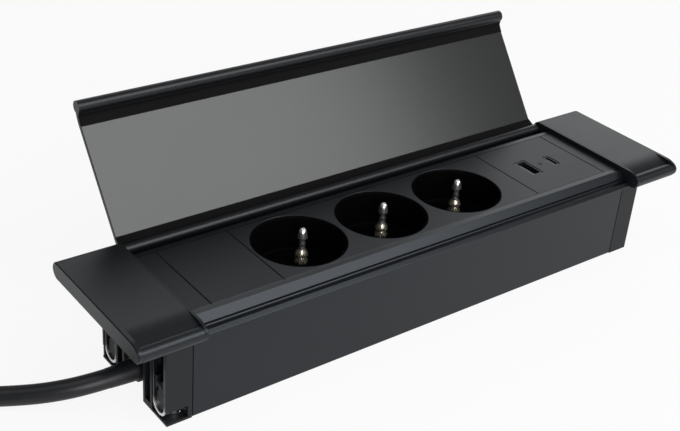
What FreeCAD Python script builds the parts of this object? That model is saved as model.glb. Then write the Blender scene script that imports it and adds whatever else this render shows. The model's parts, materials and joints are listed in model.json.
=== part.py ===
import FreeCAD
import Part
import Sketcher
import math
import os
import re
from types import SimpleNamespace

# In-desk power strip: an aluminium trough that hangs in a worktop cut-out, with a hinged lid,
# three earthed sockets, a USB charger, desk clamps at both ends and a mains lead with its plug.
# X runs along the strip towards the USB end, +Y towards the hinge, +Z up.
# The origin is the centre of the worktop cut-out, on the surface that the flanges rest on.

SIZES = {
    # Panel fronts, from the left end to the right
    "left_strip": 10.3,
    "blank_width": 34.4,
    "socket_gap": 4.7,
    "spacer_width": 9.6,
    "usb_width": 45.0,
    "right_strip": 8.7,
    "panel_top": 5.6,
    "panel_thick": 2.0,
    "panel_chamfer": 0.25,
    # Aluminium channel
    "wall": 1.6,
    "corner_radius": 0.8,
    "well_inset": 4.5,
    "well_shift": 1.1,
    "ledge_depth": 1.05,
    "ledge_thick": 1.4,
    "under_clearance": 3.5,
    "port_radius": 2.8,
    "port_bore": 1.5,
    "port_slot": 1.2,
    "port_inset": 2.65,
    # Front rail: a strip that slopes down to a groove behind a low lip
    "strip_inset": 2.85,
    "strip_run": 2.6,
    "strip_drop": 3.2,
    "rail_floor": 0.8,
    "rail_overhang": 5.15,
    "rail_lip_height": 1.9,
    "rail_lip_thick": 1.6,
    "rail_lip_drop": 1.1,
    # Hinge rail: a ridge that slopes down to the trough in which the knuckle turns
    "ridge_land": 2.35,
    "ridge_slope": 3.8,
    "trough_floor": 0.6,
    "trough_tail": 0.5,
    "rail_setback": 1.0,
    # Lid and hinge
    "lid_thick": 1.5,
    "lid_gap": 0.5,
    "lid_clearance": 0.6,
    "lid_open_angle": 126.5,
    "bend_inset": 6.85,
    "bead_radius": 2.8,
    "bead_reach": 2.1,
    "bead_clearance": 1.0,
    "hinge_reach": 4.3,
    "hinge_clearance": 0.4,
    "knuckle_radius": 2.6,
    "web_reach": 5.7,
    "web_angle": 160.0,
    "pin_radius": 1.0,
    "pin_reach": 12.0,
    "pin_seat": 8.0,
    "insert_thick": 0.35,
    "insert_margin": 0.5,
    "insert_setback": 6.1,
    # Flange ends
    "flange_overhang": 9.15,
    "block_length": 26.3,
    "outer_plate": 2.0,
    "plate_chamfer": 0.4,
    "inner_plate": 1.2,
    "nose_radius": 3.1,
    "neck_angle": 50.0,
    "back_middle": 4.2,
    "plate_nose": 3.6,
    "plate_curve": 12.0,
    "plate_curve_turn": 30.0,
    "core_depth": 5.2,
    "core_length": 10.5,
    "core_wall": 2.0,
    "core_rib": 1.6,
    "core_margin": 8.0,
    "flange_screw_reach": 7.5,
    "flange_screw_y": 4.5,
    "flange_screw_depth": 5.5,
    # End caps with their clamp posts
    "cap_plate": 2.4,
    "cap_depth": 12.0,
    "cap_seam": 0.5,
    "cap_wall": 1.45,
    "cap_roof": 3.0,
    "post_clearance": 0.6,
    "post_skin": 1.5,
    "bay_width": 10.2,
    "claw_bay_roof": 1.6,
    "shelf_lift": 6.9,
    "shelf_thick": 1.6,
    "shelf_depth": 5.7,
    "notch_height": 6.5,
    "cap_floor": 1.2,
    "housing_screw": 1.5,
    "housing_head": 2.7,
    "housing_head_depth": 1.2,
    "housing_screw_grip": 10.0,
    # Socket recesses
    "recess_radius": 20.15,
    "recess_floor": 11.0,
    "recess_round": 0.8,
    "socket_land": 1.45,
    "cup_wall": 0.75,
    "cup_floor": 2.0,
    "cup_rim": 0.3,
    "rim_lead": 0.45,
    "cup_rim_height": 1.3,
    "guide_width": 4.6,
    "guide_reach": 1.4,
    "guide_top": 2.5,
    "socket_turn": 45.0,
    "contact_spacing": 19.0,
    "contact_hole": 2.6,
    # Earth pins
    "earth_offset": 10.0,
    "earth_radius": 2.3,
    "earth_dome": 1.4,
    "earth_taper": 4.2,
    "earth_waist": 0.3,
    "earth_shank": 2.0,
    "earth_collar": 2.9,
    "earth_collar_height": 1.9,
    "earth_rise": 0.3,
    # Contact housings, clips and shutters
    "base_margin": 0.35,
    "base_height": 20.0,
    "base_floor": 1.6,
    "contact_well": 4.6,
    "clip_outer": 3.4,
    "clip_inner": 2.45,
    "clip_drop": 4.0,
    "clip_slot": 0.8,
    "clip_stem": 1.2,
    "shutter_length": 27.2,
    "shutter_width": 8.0,
    "shutter_thick": 1.8,
    "shutter_travel": 7.0,
    # Busbars
    "bar_thick": 1.0,
    "bar_width": 10.0,
    "bar_hole_gap": 1.2,
    "bar_overrun": 26.3,
    "earth_bar_drop": 2.2,
    "earth_bar_width": 6.0,
    # USB charger
    "usb_y": 0.9,
    "usb_a_place": 15.0,
    "usb_a_length": 13.1,
    "usb_a_width": 5.7,
    "usb_a_throat": 10.3,
    "tongue_thick": 1.8,
    "tongue_width": 11.2,
    "tongue_setback": 1.2,
    "usb_c_place": 30.7,
    "usb_c_length": 8.94,
    "usb_c_width": 3.2,
    "usb_c_throat": 6.5,
    "blade_thick": 0.7,
    "blade_width": 6.6,
    "led_place": 22.8,
    "led_radius": 0.8,
    "port_margin": 0.3,
    "shell_wall": 0.35,
    "board_top": 9.0,
    "board_thick": 1.6,
    "board_rest": 3.0,
    "charger_depth": 31.0,
    "charger_wall": 1.5,
    "charger_margin": 1.0,
    "transformer_side": 16.0,
    "transformer_height": 14.0,
    "capacitor_radius": 4.0,
    "choke_radius": 3.2,
    # Cable entry and terminals
    "cable_radius": 4.1,
    "cable_height": 10.8,
    "grommet_reach": 9.0,
    "grommet_wall": 1.5,
    "grommet_flange": 3.2,
    "saddle_setback": 3.5,
    "saddle_length": 10.0,
    "saddle_side": 21.0,
    "saddle_split": 0.8,
    "bar_cover": 2.0,
    "bar_screw": 1.2,
    "bar_screw_place": 7.8,
    "bar_screw_head": 2.4,
    "tail_reach": 2.0,
    "core_reach": 3.0,
    "core_radius": 1.2,
    "core_spacing": 2.6,
    "terminal_length": 20.0,
    "terminal_width": 30.0,
    "terminal_height": 11.0,
    "terminal_pitch": 9.5,
    "terminal_pit": 2.6,
    # Coil and plug of the mains lead
    "coil_gap": 0.8,
    "coil_outer": 57.5,
    "coil_start_angle": 60.0,
    "coil_lower_turns": 2.25,
    "coil_upper_turns": 1.791667,
    "coil_tail": 25.0,
    "plug_radius": 19.0,
    "plug_height": 25.0,
    "plug_relief": 28.0,
    "plug_pin_radius": 2.4,
    "plug_pin_length": 19.0,
    "plug_recess": 3.0,
    # Desk clamps
    "clamp_reach": 3.1,
    "clamp_screw_radius": 1.5,
    "clamp_head_radius": 2.75,
    "clamp_head": 4.7,
    "clamp_hex": 1.3,
    "carriage_height": 8.0,
    "carriage_depth": 5.4,
    "ear_thick": 1.2,
    "ear_cover": 1.3,
    "claw_reach": 4.6,
    "claw_pin_radius": 0.85,
    "claw_knuckle": 1.6,
    "claw_thick": 1.6,
    "claw_length": 12.4,
    "claw_lift": 3.9,
    "claw_shoulder": 4.5,
    "stirrup_thick": 1.2,
    "stirrup_depth": 3.0,
    "stirrup_lift": 1.9,
    # Fits
    "fit_gap": 0.1,
    "slide_gap": 0.3,
    "turn_gap": 0.06,
}

# Places and overall sizes that follow from those

PLACES = {
    "socket_pitch": "2 * recess_radius + socket_gap",
    "base_side": "2 * (recess_radius + base_margin)",
    "well_length": "left_strip + blank_width + 3 * socket_pitch + spacer_width + usb_width"
                   " + right_strip",
    "well_width": "2 * (recess_radius + cup_wall + socket_land)",
    "well_front": "well_width / 2 - well_shift",
    "well_back": "well_width / 2 + well_shift",
    "body_width": "well_width + 2 * well_inset",
    "base_bottom": "recess_floor + cup_floor + base_height",
    "body_depth": "base_bottom + earth_bar_drop + bar_thick + under_clearance + wall",
    "channel_length": "well_length + 2 * rail_setback",
    "lid_length": "well_length - 2 * lid_gap",
    "flange_length": "well_length + 2 * (inner_plate + block_length + outer_plate)",
    "flange_width": "body_width + 2 * flange_overhang",
    "flange_top": "panel_top + lid_clearance + lid_thick",
    "strip_head": "body_width / 2 - strip_inset",
    "strip_foot": "strip_head + strip_run",
    "strip_foot_height": "panel_top - strip_drop",
    "rail_front": "body_width / 2 + rail_overhang",
    "ridge": "well_back + ridge_land",
    "trough_front": "ridge + ridge_slope",
    "hinge_y": "trough_front + hinge_reach",
    "hinge_z": "trough_floor + hinge_clearance + knuckle_radius",
    "rail_back": "hinge_y + trough_tail",
    "top_bend": "body_width / 2 - bend_inset",
    "bead_y": "strip_foot + bead_reach",
    "bead_z": "rail_floor + bead_clearance + bead_radius",
    "insert_front": "top_bend + insert_margin",
    "insert_back": "hinge_y - insert_setback",
    "port_side": "body_width / 2 - wall - port_inset",
    "port_height": "body_depth - wall - port_inset",
    "core_start": "flange_length / 2 - outer_plate - core_wall - core_length",
    "flange_screw_x": "channel_length / 2 + flange_screw_reach",
    "claw_bay_outer": "body_width / 2 - cap_wall",
    "claw_bay_inner": "claw_bay_outer - bay_width",
    "post_gap": "2 * (cable_radius + grommet_flange + post_clearance)",
    "shelf_top": "body_depth - shelf_lift",
    "clamp_x": "channel_length / 2 + cap_plate + clamp_reach",
    "clamp_y": "(claw_bay_inner + claw_bay_outer) / 2",
    "clamp_top": "claw_bay_roof + slide_gap",
    "claw_pin_x": "clamp_x + claw_reach",
    "claw_pin_z": "body_depth - claw_lift - claw_length",
    "carriage_top": "claw_pin_z - carriage_height / 2",
    "cup_shoulder": "recess_radius + cup_wall + cup_rim",
    "earth_tip": "panel_top + earth_rise",
    "clip_top": "recess_floor + cup_floor + clip_drop",
    "shutter_pocket": "shutter_thick + 2 * slide_gap",
    "socket_middle": "left_strip + blank_width + 1.5 * socket_pitch - well_length / 2",
    "usb_start": "socket_middle + 1.5 * socket_pitch + spacer_width",
    "usb_end": "usb_start + usb_width",
    "usb_a_x": "usb_start + usb_a_place",
    "usb_c_x": "usb_start + usb_c_place",
    "led_x": "usb_start + led_place",
    "bar_end": "socket_middle + socket_pitch + bar_overrun",
    "cable_exit_z": "cable_height - body_depth",
    "saddle_start": "saddle_setback - channel_length / 2",
    "saddle_end": "saddle_start + saddle_length",
    "tail_end": "saddle_end + tail_reach",
    "terminal_start": "tail_end + core_reach",
    "terminal_end": "terminal_start + terminal_length",
}

doc = FreeCAD.newDocument("DeskPowerStrip")
sheet = doc.addObject("Spreadsheet::Sheet", "Sizes")
for row, (alias, value) in enumerate(SIZES.items(), start=1):
    sheet.set(f"A{row}", alias.replace("_", " "))
    sheet.set(f"B{row}", str(value))
    sheet.setAlias(f"B{row}", alias)
places = doc.addObject("App::VarSet", "Places")


def bind(item, prop, formula):
    """Bind a property to a formula in which sizes and places stand by name."""
    def owner(word):
        name = word.group()
        if name in SIZES:
            return "Sizes." + name
        return "Places." + name if name in PLACES else name
    item.setExpression(prop, re.sub(r"[a-z_]+", owner, str(formula)))


for name, formula in PLACES.items():
    places.addProperty("App::PropertyFloat", name)
    bind(places, name, formula)
doc.recompute()
S = SimpleNamespace(**{alias: float(sheet.get(alias)) for alias in SIZES},
                    **{name: getattr(places, name) for name in PLACES})

PIECES = {}


def vector(x, y, z=0.0):
    return FreeCAD.Vector(x, y, z)


def turned(angle, about=(0, 0, 1)):
    return FreeCAD.Rotation(vector(*about), angle)


def piece(label, item):
    """Enter an object as the sub-part that its file is named after."""
    item.Label = label
    PIECES[label] = item
    return item


# Primitives and booleans

def block(name, x, y, z):
    """A box between pairs of formulas."""
    box = doc.addObject("Part::Box", name)
    for side, axis, (low, high) in (("Length", "x", x), ("Width", "y", y), ("Height", "z", z)):
        bind(box, side, f"({high}) - ({low})")
        bind(box, f"Placement.Base.{axis}", low)
    return box


def rod(name, axis, across, along, radius):
    """A cylinder along X, Y or Z; across gives its axis in the other two, along its two ends."""
    cylinder = doc.addObject("Part::Cylinder", name)
    turn = {"x": turned(90, (0, 1, 0)), "y": turned(-90, (1, 0, 0)), "z": turned(0)}[axis]
    cylinder.Placement = FreeCAD.Placement(vector(0, 0), turn)
    bind(cylinder, "Radius", radius)
    bind(cylinder, "Height", f"({along[1]}) - ({along[0]})")
    others = [other for other in "xyz" if other != axis]
    bind(cylinder, f"Placement.Base.{axis}", along[0])
    bind(cylinder, f"Placement.Base.{others[0]}", across[0])
    bind(cylinder, f"Placement.Base.{others[1]}", across[1])
    return cylinder


def fused(name, *items):
    fuse = doc.addObject("Part::MultiFuse", name)
    fuse.Shapes = list(items)
    return fuse


def grouped(name, *items):
    """Separate solids that share one file."""
    group = doc.addObject("Part::Compound", name)
    group.Links = list(items)
    return group


def less(name, base, *tools):
    cut = doc.addObject("Part::Cut", name)
    cut.Base = base
    cut.Tool = tools[0] if len(tools) == 1 else fused(f"{name}_tools", *tools)
    return cut


def mirrored(name, source, normal=(1, 0, 0)):
    mirror = doc.addObject("Part::Mirroring", name)
    mirror.Source = source
    mirror.Normal = vector(*normal)
    return mirror


def shaped(name, shape):
    """An object whose shape is worked out here from the sheet's sizes."""
    item = doc.addObject("Part::Feature", name)
    item.Shape = shape
    return item


# Sketched bodies

def new_body(name):
    return doc.addObject("PartDesign::Body", name)


def sketch(body, role, name, offset="0"):
    """A sketch on one of the body's own origin planes, moved along its normal."""
    plane = next(f for f in body.Origin.OriginFeatures if f.Role == role)
    item = body.newObject("Sketcher::SketchObject", f"{body.Name}_{name}")
    item.AttachmentSupport = (plane, "")
    item.MapMode = "FlatFace"
    bind(item, "AttachmentOffset.Base.z", offset)
    return item


def draw(item, path):
    """Draw a closed outline: pairs are line ends, fours an arc's middle and its end."""
    start = path[0]
    here = start
    for step in list(path[1:]) + [start]:
        end = step[-2:]
        if math.dist(here, end) < 1e-6:
            continue
        if len(step) == 4:
            edge = Part.Arc(vector(*here), vector(*step[:2]), vector(*end))
        else:
            edge = Part.LineSegment(vector(*here), vector(*end))
        item.addConstraint(Sketcher.Constraint("Block", item.addGeometry(edge, False)))
        here = end


def draw_circle(item, centre, radius):
    circle = Part.Circle(vector(*centre), vector(0, 0, 1), radius)
    item.addConstraint(Sketcher.Constraint("Block", item.addGeometry(circle, False)))


def draw_slot(item, centre, length, width):
    """A slot with round ends, long in Y."""
    x, y = centre
    half = width / 2
    straight = length / 2 - half
    draw(item, [
        (x - half, y - straight), (x, y - length / 2, x + half, y - straight),
        (x + half, y + straight), (x, y + length / 2, x - half, y + straight),
    ])


def rectangle(low_x, high_x, low_y, high_y):
    return [(low_x, low_y), (high_x, low_y), (high_x, high_y), (low_x, high_y)]


def pad(body, profile, length, side="One side"):
    feature = body.newObject("PartDesign::Pad", f"{profile.Name}_pad")
    feature.Profile = profile
    feature.SideType = side
    bind(feature, "Length", length)
    return feature


def pocket(body, profile, length, upward=False):
    """A cut from the sketch, against its normal, or along it when upward."""
    feature = body.newObject("PartDesign::Pocket", f"{profile.Name}_cut")
    feature.Profile = profile
    feature.Reversed = upward
    bind(feature, "Length", length)
    return feature


def pocket_through(body, profile):
    feature = body.newObject("PartDesign::Pocket", f"{profile.Name}_cut")
    feature.Profile = profile
    feature.Type = "ThroughAll"
    feature.SideType = "Symmetric"
    return feature


def revolve(body, profile):
    feature = body.newObject("PartDesign::Revolution", f"{profile.Name}_turned")
    feature.Profile = profile
    feature.ReferenceAxis = (profile, ["V_Axis"])
    feature.Angle = 360
    return feature


def face_at(shape, axis, value):
    """The name of the flat face that lies across an axis at a value."""
    for number, face in enumerate(shape.Faces, start=1):
        box = face.BoundBox
        low, high = {"x": (box.XMin, box.XMax), "z": (box.ZMin, box.ZMax)}[axis]
        if abs(low - value) < 1e-4 and abs(high - value) < 1e-4:
            return f"Face{number}"
    raise ValueError(f"no face across {axis} at {value}")


def chamfer_face(body, feature, axis, value, size):
    doc.recompute()
    edge = body.newObject("PartDesign::Chamfer", f"{body.Name}_chamfer")
    edge.Base = (feature, [face_at(feature.Shape, axis, value)])
    bind(edge, "Size", size)
    return edge


# Formulas and numbers that several pieces share

CHANNEL_END = "channel_length / 2"
CAP_END = "channel_length / 2 + cap_depth"
CAP_FACE = "channel_length / 2 + cap_plate"
WELL_END = "well_length / 2"
FLANGE_START = "well_length / 2 + inner_plate"
FLANGE_END = "flange_length / 2 - outer_plate"
INSIDE_FLOOR = "wall - body_depth"
PANEL_UNDER = "panel_top - panel_thick"
BASE_TOP = "-recess_floor - cup_floor"

flange_half = S.flange_width / 2
lid_inner = S.flange_top - S.lid_thick
socket_places = [S.socket_middle + step * S.socket_pitch for step in (-1, 0, 1)]
table = -S.body_depth


def polar(radius, degrees, centre=(0.0, 0.0)):
    turn = math.radians(degrees)
    return (centre[0] + radius * math.cos(turn), centre[1] + radius * math.sin(turn))


def diagonal(along_earth, along_contacts):
    """A point of a socket, by its distance towards the earth pin and along the contacts."""
    turn = math.radians(S.socket_turn)
    return (along_earth * math.cos(turn) - along_contacts * math.sin(turn),
            along_earth * math.sin(turn) + along_contacts * math.cos(turn))


# Aluminium channel

def channel_outline():
    """The extrusion's section: floor, walls, panel ledges, front rail groove and hinge trough."""
    half = S.body_width / 2
    inner = half - S.wall
    bend = S.corner_radius
    corner = bend * (1 - math.sqrt(0.5))
    seat = S.panel_top - S.panel_thick
    shelf = seat - S.ledge_thick
    front, back = S.well_front, S.well_back
    lip_edge = S.rail_lip_height - S.rail_lip_drop
    return [
        (-half, table + bend), (-half + corner, table + corner, -half + bend, table),
        (half - bend, table), (half - corner, table + corner, half, table + bend),
        (half, 0), (S.rail_back, 0), (S.rail_back, S.trough_floor),
        (S.trough_front, S.trough_floor), (S.ridge, S.panel_top), (back, S.panel_top),
        (back, seat), (back - S.ledge_depth, seat), (back - S.ledge_depth, shelf),
        (inner, shelf), (inner, table + S.wall), (-inner, table + S.wall), (-inner, shelf),
        (-front + S.ledge_depth, shelf), (-front + S.ledge_depth, seat), (-front, seat),
        (-front, S.panel_top), (-S.strip_head, S.panel_top),
        (-S.strip_foot, S.strip_foot_height),
        (-S.strip_foot - 0.3, S.rail_floor + 0.3, -S.strip_foot - 1.0, S.rail_floor),
        (-S.rail_front + S.rail_lip_thick, S.rail_floor),
        (-S.rail_front + S.rail_lip_thick, S.rail_lip_height),
        (-S.rail_front + S.fit_gap, lip_edge), (-S.rail_front, lip_edge - S.fit_gap),
        (-S.rail_front, 0), (-half, 0),
    ]


def make_channel():
    body = new_body("channel")
    section = sketch(body, "YZ_Plane", "section")
    draw(section, channel_outline())
    pad(body, section, "channel_length", "Symmetric")
    ports = sketch(body, "YZ_Plane", "screw_ports")
    bores = sketch(body, "YZ_Plane", "port_bores")
    slots = sketch(body, "YZ_Plane", "port_slots")
    half_slot = S.port_slot / 2
    for side in (-1, 1):
        draw_circle(ports, (side * S.port_side, -S.port_height), S.port_radius)
        draw_circle(bores, (side * S.port_side, -S.port_height), S.port_bore)
        near, far = sorted((side * S.port_side, side * (S.port_side - S.port_radius - 1)))
        draw(slots, rectangle(near, far, -S.port_height - half_slot, -S.port_height + half_slot))
    pad(body, ports, "channel_length", "Symmetric")
    pocket_through(body, bores)
    pocket_through(body, slots)
    ends = sketch(body, "XZ_Plane", "rail_ends")
    reach = S.channel_length / 2 + 1
    for low, high in ((-reach, -S.well_length / 2), (S.well_length / 2, reach)):
        draw(ends, rectangle(low, high, 0, S.flange_top))
    pocket_through(body, ends)
    piece("channel_profile", body)


# End caps

def end_cap(name, cable_exit):
    """The cap at the +X end: a plate on the channel and two hollow clamp posts."""
    seam = block(f"{name}_seam", (CHANNEL_END, f"{CHANNEL_END} + cap_seam"),
                 ("cap_seam - body_width / 2", "body_width / 2 - cap_seam"),
                 ("cap_seam - body_depth", "0"))
    bulk = block(f"{name}_bulk", (f"{CHANNEL_END} + cap_seam", CAP_END),
                 ("-body_width / 2", "body_width / 2"), ("-body_depth", "0"))
    solid = fused(f"{name}_solid", seam, bulk)
    tools = [block(f"{name}_gap", (CAP_FACE, f"{CAP_END} + 1"), ("-post_gap / 2", "post_gap / 2"),
                   ("-body_depth - 1", "-cap_roof"))]
    shelves = []
    post_spans = {"back": ("post_gap / 2", "claw_bay_inner"),
                  "front": ("-claw_bay_inner", "-post_gap / 2")}
    cores = [block(f"{name}_core_{side}", (f"{CAP_FACE} + post_skin", f"{CAP_END} + 1"),
                   (f"{low} + post_skin", f"{high} - post_skin"),
                   ("2 * post_skin - body_depth", "-cap_roof - post_skin"))
             for side, (low, high) in post_spans.items()]
    tools += cores
    for side, low, high in (("back", "claw_bay_inner", "claw_bay_outer"),
                            ("front", "-claw_bay_outer", "-claw_bay_inner")):
        sign = "" if side == "back" else "-"
        tools.append(block(f"{name}_bay_{side}", (CAP_FACE, f"{CAP_END} + 1"), (low, high),
                           ("cap_floor - body_depth", "-claw_bay_roof")))
        tools.append(rod(f"{name}_driver_hole_{side}", "z", ("clamp_x", f"{sign}clamp_y"),
                         ("-body_depth - 1", "cap_floor - body_depth + 1"),
                         "clamp_head_radius + slide_gap"))
        tools.append(rod(f"{name}_screw_hole_{side}", "x", (f"{sign}port_side", "-port_height"),
                         (f"{CHANNEL_END} - 1", f"{CAP_FACE} + 1"), "port_bore + fit_gap"))
        tools.append(rod(f"{name}_screw_seat_{side}", "x", (f"{sign}port_side", "-port_height"),
                         (f"{CAP_FACE} - housing_head_depth", f"{CAP_FACE} + 1"), "housing_head + fit_gap"))
        tools.append(rod(f"{name}_roof_hole_{side}", "z", ("flange_screw_x", f"{sign}flange_screw_y"),
                         ("-cap_roof - 1", "1"), "housing_screw + fit_gap"))
        board = block(f"{name}_board_{side}", (CAP_FACE, f"{CAP_FACE} + shelf_depth"), (low, high),
                      ("-shelf_top - shelf_thick", "-shelf_top"))
        hole = rod(f"{name}_shelf_hole_{side}", "z", ("clamp_x", f"{sign}clamp_y"),
                   ("-shelf_top - shelf_thick - 1", "1 - shelf_top"),
                   "clamp_screw_radius + slide_gap")
        shelves.append(less(f"{name}_shelf_{side}", board, hole))
    if cable_exit:
        tools.append(rod(f"{name}_cable_hole", "x", ("0", "cable_exit_z"),
                         (f"{CHANNEL_END} - 1", f"{CAP_FACE} + 1"), "cable_radius + grommet_wall"))
        tools.append(block(f"{name}_notch", (CAP_FACE, f"{CAP_END} + 1"),
                           ("-body_width / 2 - 1", "body_width / 2 + 1"),
                           ("cap_floor - body_depth", "notch_height - body_depth")))
    hollow = less(f"{name}_hollow", solid, *tools)
    if not cable_exit:
        return fused(f"{name}_whole", hollow, *shelves)
    walls = []
    for side, (low, high) in post_spans.items():
        walls.append(block(f"{name}_post_{side}", (CAP_FACE, CAP_END), (low, high),
                           ("-body_depth", "notch_height - body_depth")))
    posts = less(f"{name}_posts", fused(f"{name}_post_pair", *walls), *cores)
    return fused(f"{name}_whole", hollow, posts, *shelves)


def make_end_caps():
    piece("right_end_cap", end_cap("right_cap", cable_exit=False))
    piece("left_end_cap", mirrored("left_cap", end_cap("left_cap_source", cable_exit=True)))
    screws = []
    for end in ("", "-"):
        for side in ("", "-"):
            name = f"cap_screw_{len(screws)}"
            head_span = (f"{CAP_FACE} - housing_head_depth", CAP_FACE)
            shank_span = (f"{CHANNEL_END} - housing_screw_grip",
                          f"{CAP_FACE} - housing_head_depth")
            if end:
                head_span = tuple(f"-({value})" for value in reversed(head_span))
                shank_span = tuple(f"-({value})" for value in reversed(shank_span))
            across = (f"{side}port_side", "-port_height")
            head = rod(f"{name}_head", "x", across, head_span, "housing_head")
            shank = rod(f"{name}_shank", "x", across, shank_span, "port_bore - fit_gap / 2")
            screws.append(fused(name, head, shank))
    return screws


# Flange ends

def flange_back():
    """The round back edge that every flange section shares, from the top to the underside."""
    upper = S.flange_top - S.back_middle
    return [
        (flange_half - upper, S.flange_top),
        (*polar(upper, 45, (flange_half - upper, S.back_middle)), flange_half, S.back_middle),
        (*polar(S.back_middle, -45, (flange_half - S.back_middle, S.back_middle)),
         flange_half - S.back_middle, 0),
    ]


def flange_outline():
    """The block's section: flat top, shallow neck and a bead along the front edge."""
    nose = (-flange_half + S.nose_radius, S.nose_radius)
    neck = polar(S.nose_radius, S.neck_angle, nose)
    bend = (-S.top_bend, S.flange_top)
    middle = ((neck[0] + bend[0]) / 2 - 0.2, (neck[1] + bend[1]) / 2 + 0.55)
    return [
        (nose[0], 0), (*polar(S.nose_radius, 190, nose), *neck), (*middle, *bend),
        *flange_back(),
    ]


def plate_outline():
    """The end plates' oval: a round nose under a slower curve, without the neck."""
    low = S.plate_nose
    bend, turn = S.plate_curve, S.plate_curve_turn
    tight = ((S.flange_top - low - bend * (1 - math.cos(math.radians(turn))))
             / math.cos(math.radians(turn)))
    nose = (-flange_half + tight, low)
    meet = polar(tight, 90 + turn, nose)
    slow = polar(bend - tight, turn - 90, nose)
    return [
        (-flange_half + low, 0), (*polar(low, 225, (-flange_half + low, low)), -flange_half, low),
        (*polar(tight, 135 + turn / 2, nose), *meet),
        (*polar(bend, 90 + turn / 2, slow), slow[0], S.flange_top),
        *flange_back(),
    ]


def flange_block(name):
    body = new_body(f"{name}_form")
    section = sketch(body, "YZ_Plane", "section", FLANGE_START)
    draw(section, flange_outline())
    pad(body, section, f"({FLANGE_END}) - ({FLANGE_START})")
    cores = sketch(body, "XY_Plane", "cores")
    end = S.flange_length / 2 - S.outer_plate - S.core_wall
    reach = flange_half - S.core_margin
    cell = (2 * reach - 2 * S.core_rib) / 3
    for number in range(3):
        low = number * (cell + S.core_rib) - reach
        draw(cores, rectangle(S.core_start, end, low, low + cell))
    pocket(body, cores, "core_depth", upward=True)
    holes = [rod(f"{name}_screw_{side}", "z", ("flange_screw_x", y),
                 ("-1", "flange_screw_depth"), "housing_screw + fit_gap")
             for side, y in (("back", "flange_screw_y"), ("front", "-flange_screw_y"))]
    holes.append(rod(f"{name}_pin_hole", "x", ("hinge_y", "hinge_z"),
                     (f"{FLANGE_START} - 1", f"{FLANGE_START} + pin_seat"), "pin_radius + fit_gap / 2"))
    return less(f"{name}_drilled", body, *holes)


def end_plate(name, start, thick, chamfered_at=None, drilled=False):
    body = new_body(f"{name}_form")
    section = sketch(body, "YZ_Plane", "section", start)
    draw(section, plate_outline())
    if drilled:
        draw_circle(section, (S.hinge_y, S.hinge_z), S.pin_radius + S.fit_gap / 2)
    plate = pad(body, section, thick)
    if chamfered_at:
        chamfer_face(body, plate, "x", chamfered_at, "plate_chamfer")
    return body


def make_flange_ends():
    makers = {
        "flange_block": lambda name: flange_block(name),
        "outer_plate": lambda name: end_plate(name, FLANGE_END, "outer_plate",
                                              chamfered_at=S.flange_length / 2),
        "inner_plate": lambda name: end_plate(name, WELL_END, "inner_plate", drilled=True),
    }
    for kind, make in makers.items():
        piece(f"right_{kind}", make(f"right_{kind}"))
        piece(f"left_{kind}", mirrored(f"left_{kind}", make(f"left_{kind}_source")))
    screws = []
    for x in ("flange_screw_x", "-flange_screw_x"):
        for y in ("flange_screw_y", "-flange_screw_y"):
            name = f"flange_screw_{len(screws)}"
            head = rod(f"{name}_head", "z", (x, y),
                       ("-cap_roof - 2 * housing_head_depth", "-cap_roof"), "housing_head")
            shank = rod(f"{name}_shank", "z", (x, y),
                        ("-cap_roof", "flange_screw_depth - fit_gap"), "housing_screw")
            screws.append(fused(name, head, shank))
    return screws


# Lid, drawn closed and then swung open about the hinge

def lid_outline():
    """Flat sheet with a bead along its free edge and a bored knuckle along the hinge."""
    bead = (-S.bead_y, S.bead_z)
    hinge = (S.hinge_y, S.hinge_z)
    neck = polar(S.bead_radius, 50, bead)
    root = polar(S.bead_radius, -6, bead)
    bend = (-S.top_bend + 1, S.flange_top)
    under = (-S.insert_front - S.fit_gap, lid_inner)
    shoulder = (-S.strip_head - 0.45, S.panel_top + 0.22)
    web = polar(S.knuckle_radius, S.web_angle, hinge)
    web_start = (S.hinge_y - S.web_reach, lid_inner)
    return [
        (S.hinge_y + 0.2, S.flange_top), bend,
        ((bend[0] + neck[0]) / 2, (bend[1] + neck[1]) / 2 + 0.4, *neck),
        (*polar(S.bead_radius, 200, bead), *root),
        ((root[0] + shoulder[0]) / 2 + 0.15, (root[1] + shoulder[1]) / 2 + 0.15, *shoulder),
        ((shoulder[0] + under[0]) / 2, (shoulder[1] + under[1]) / 2 + 0.12, *under),
        web_start, ((web_start[0] + web[0]) / 2 + 0.15, (web_start[1] + web[1]) / 2 + 0.3, *web),
        (S.hinge_y, S.hinge_z - S.knuckle_radius, S.hinge_y + S.knuckle_radius, S.hinge_z),
        (S.hinge_y + 0.9, S.flange_top - 0.5),
    ]


def swung_open(item):
    """Turn a piece drawn in the closed lid to the open stop."""
    hinge = vector(0, S.hinge_y, S.hinge_z)
    item.Placement = FreeCAD.Placement(vector(0, 0), turned(-S.lid_open_angle, (1, 0, 0)), hinge)


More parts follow.
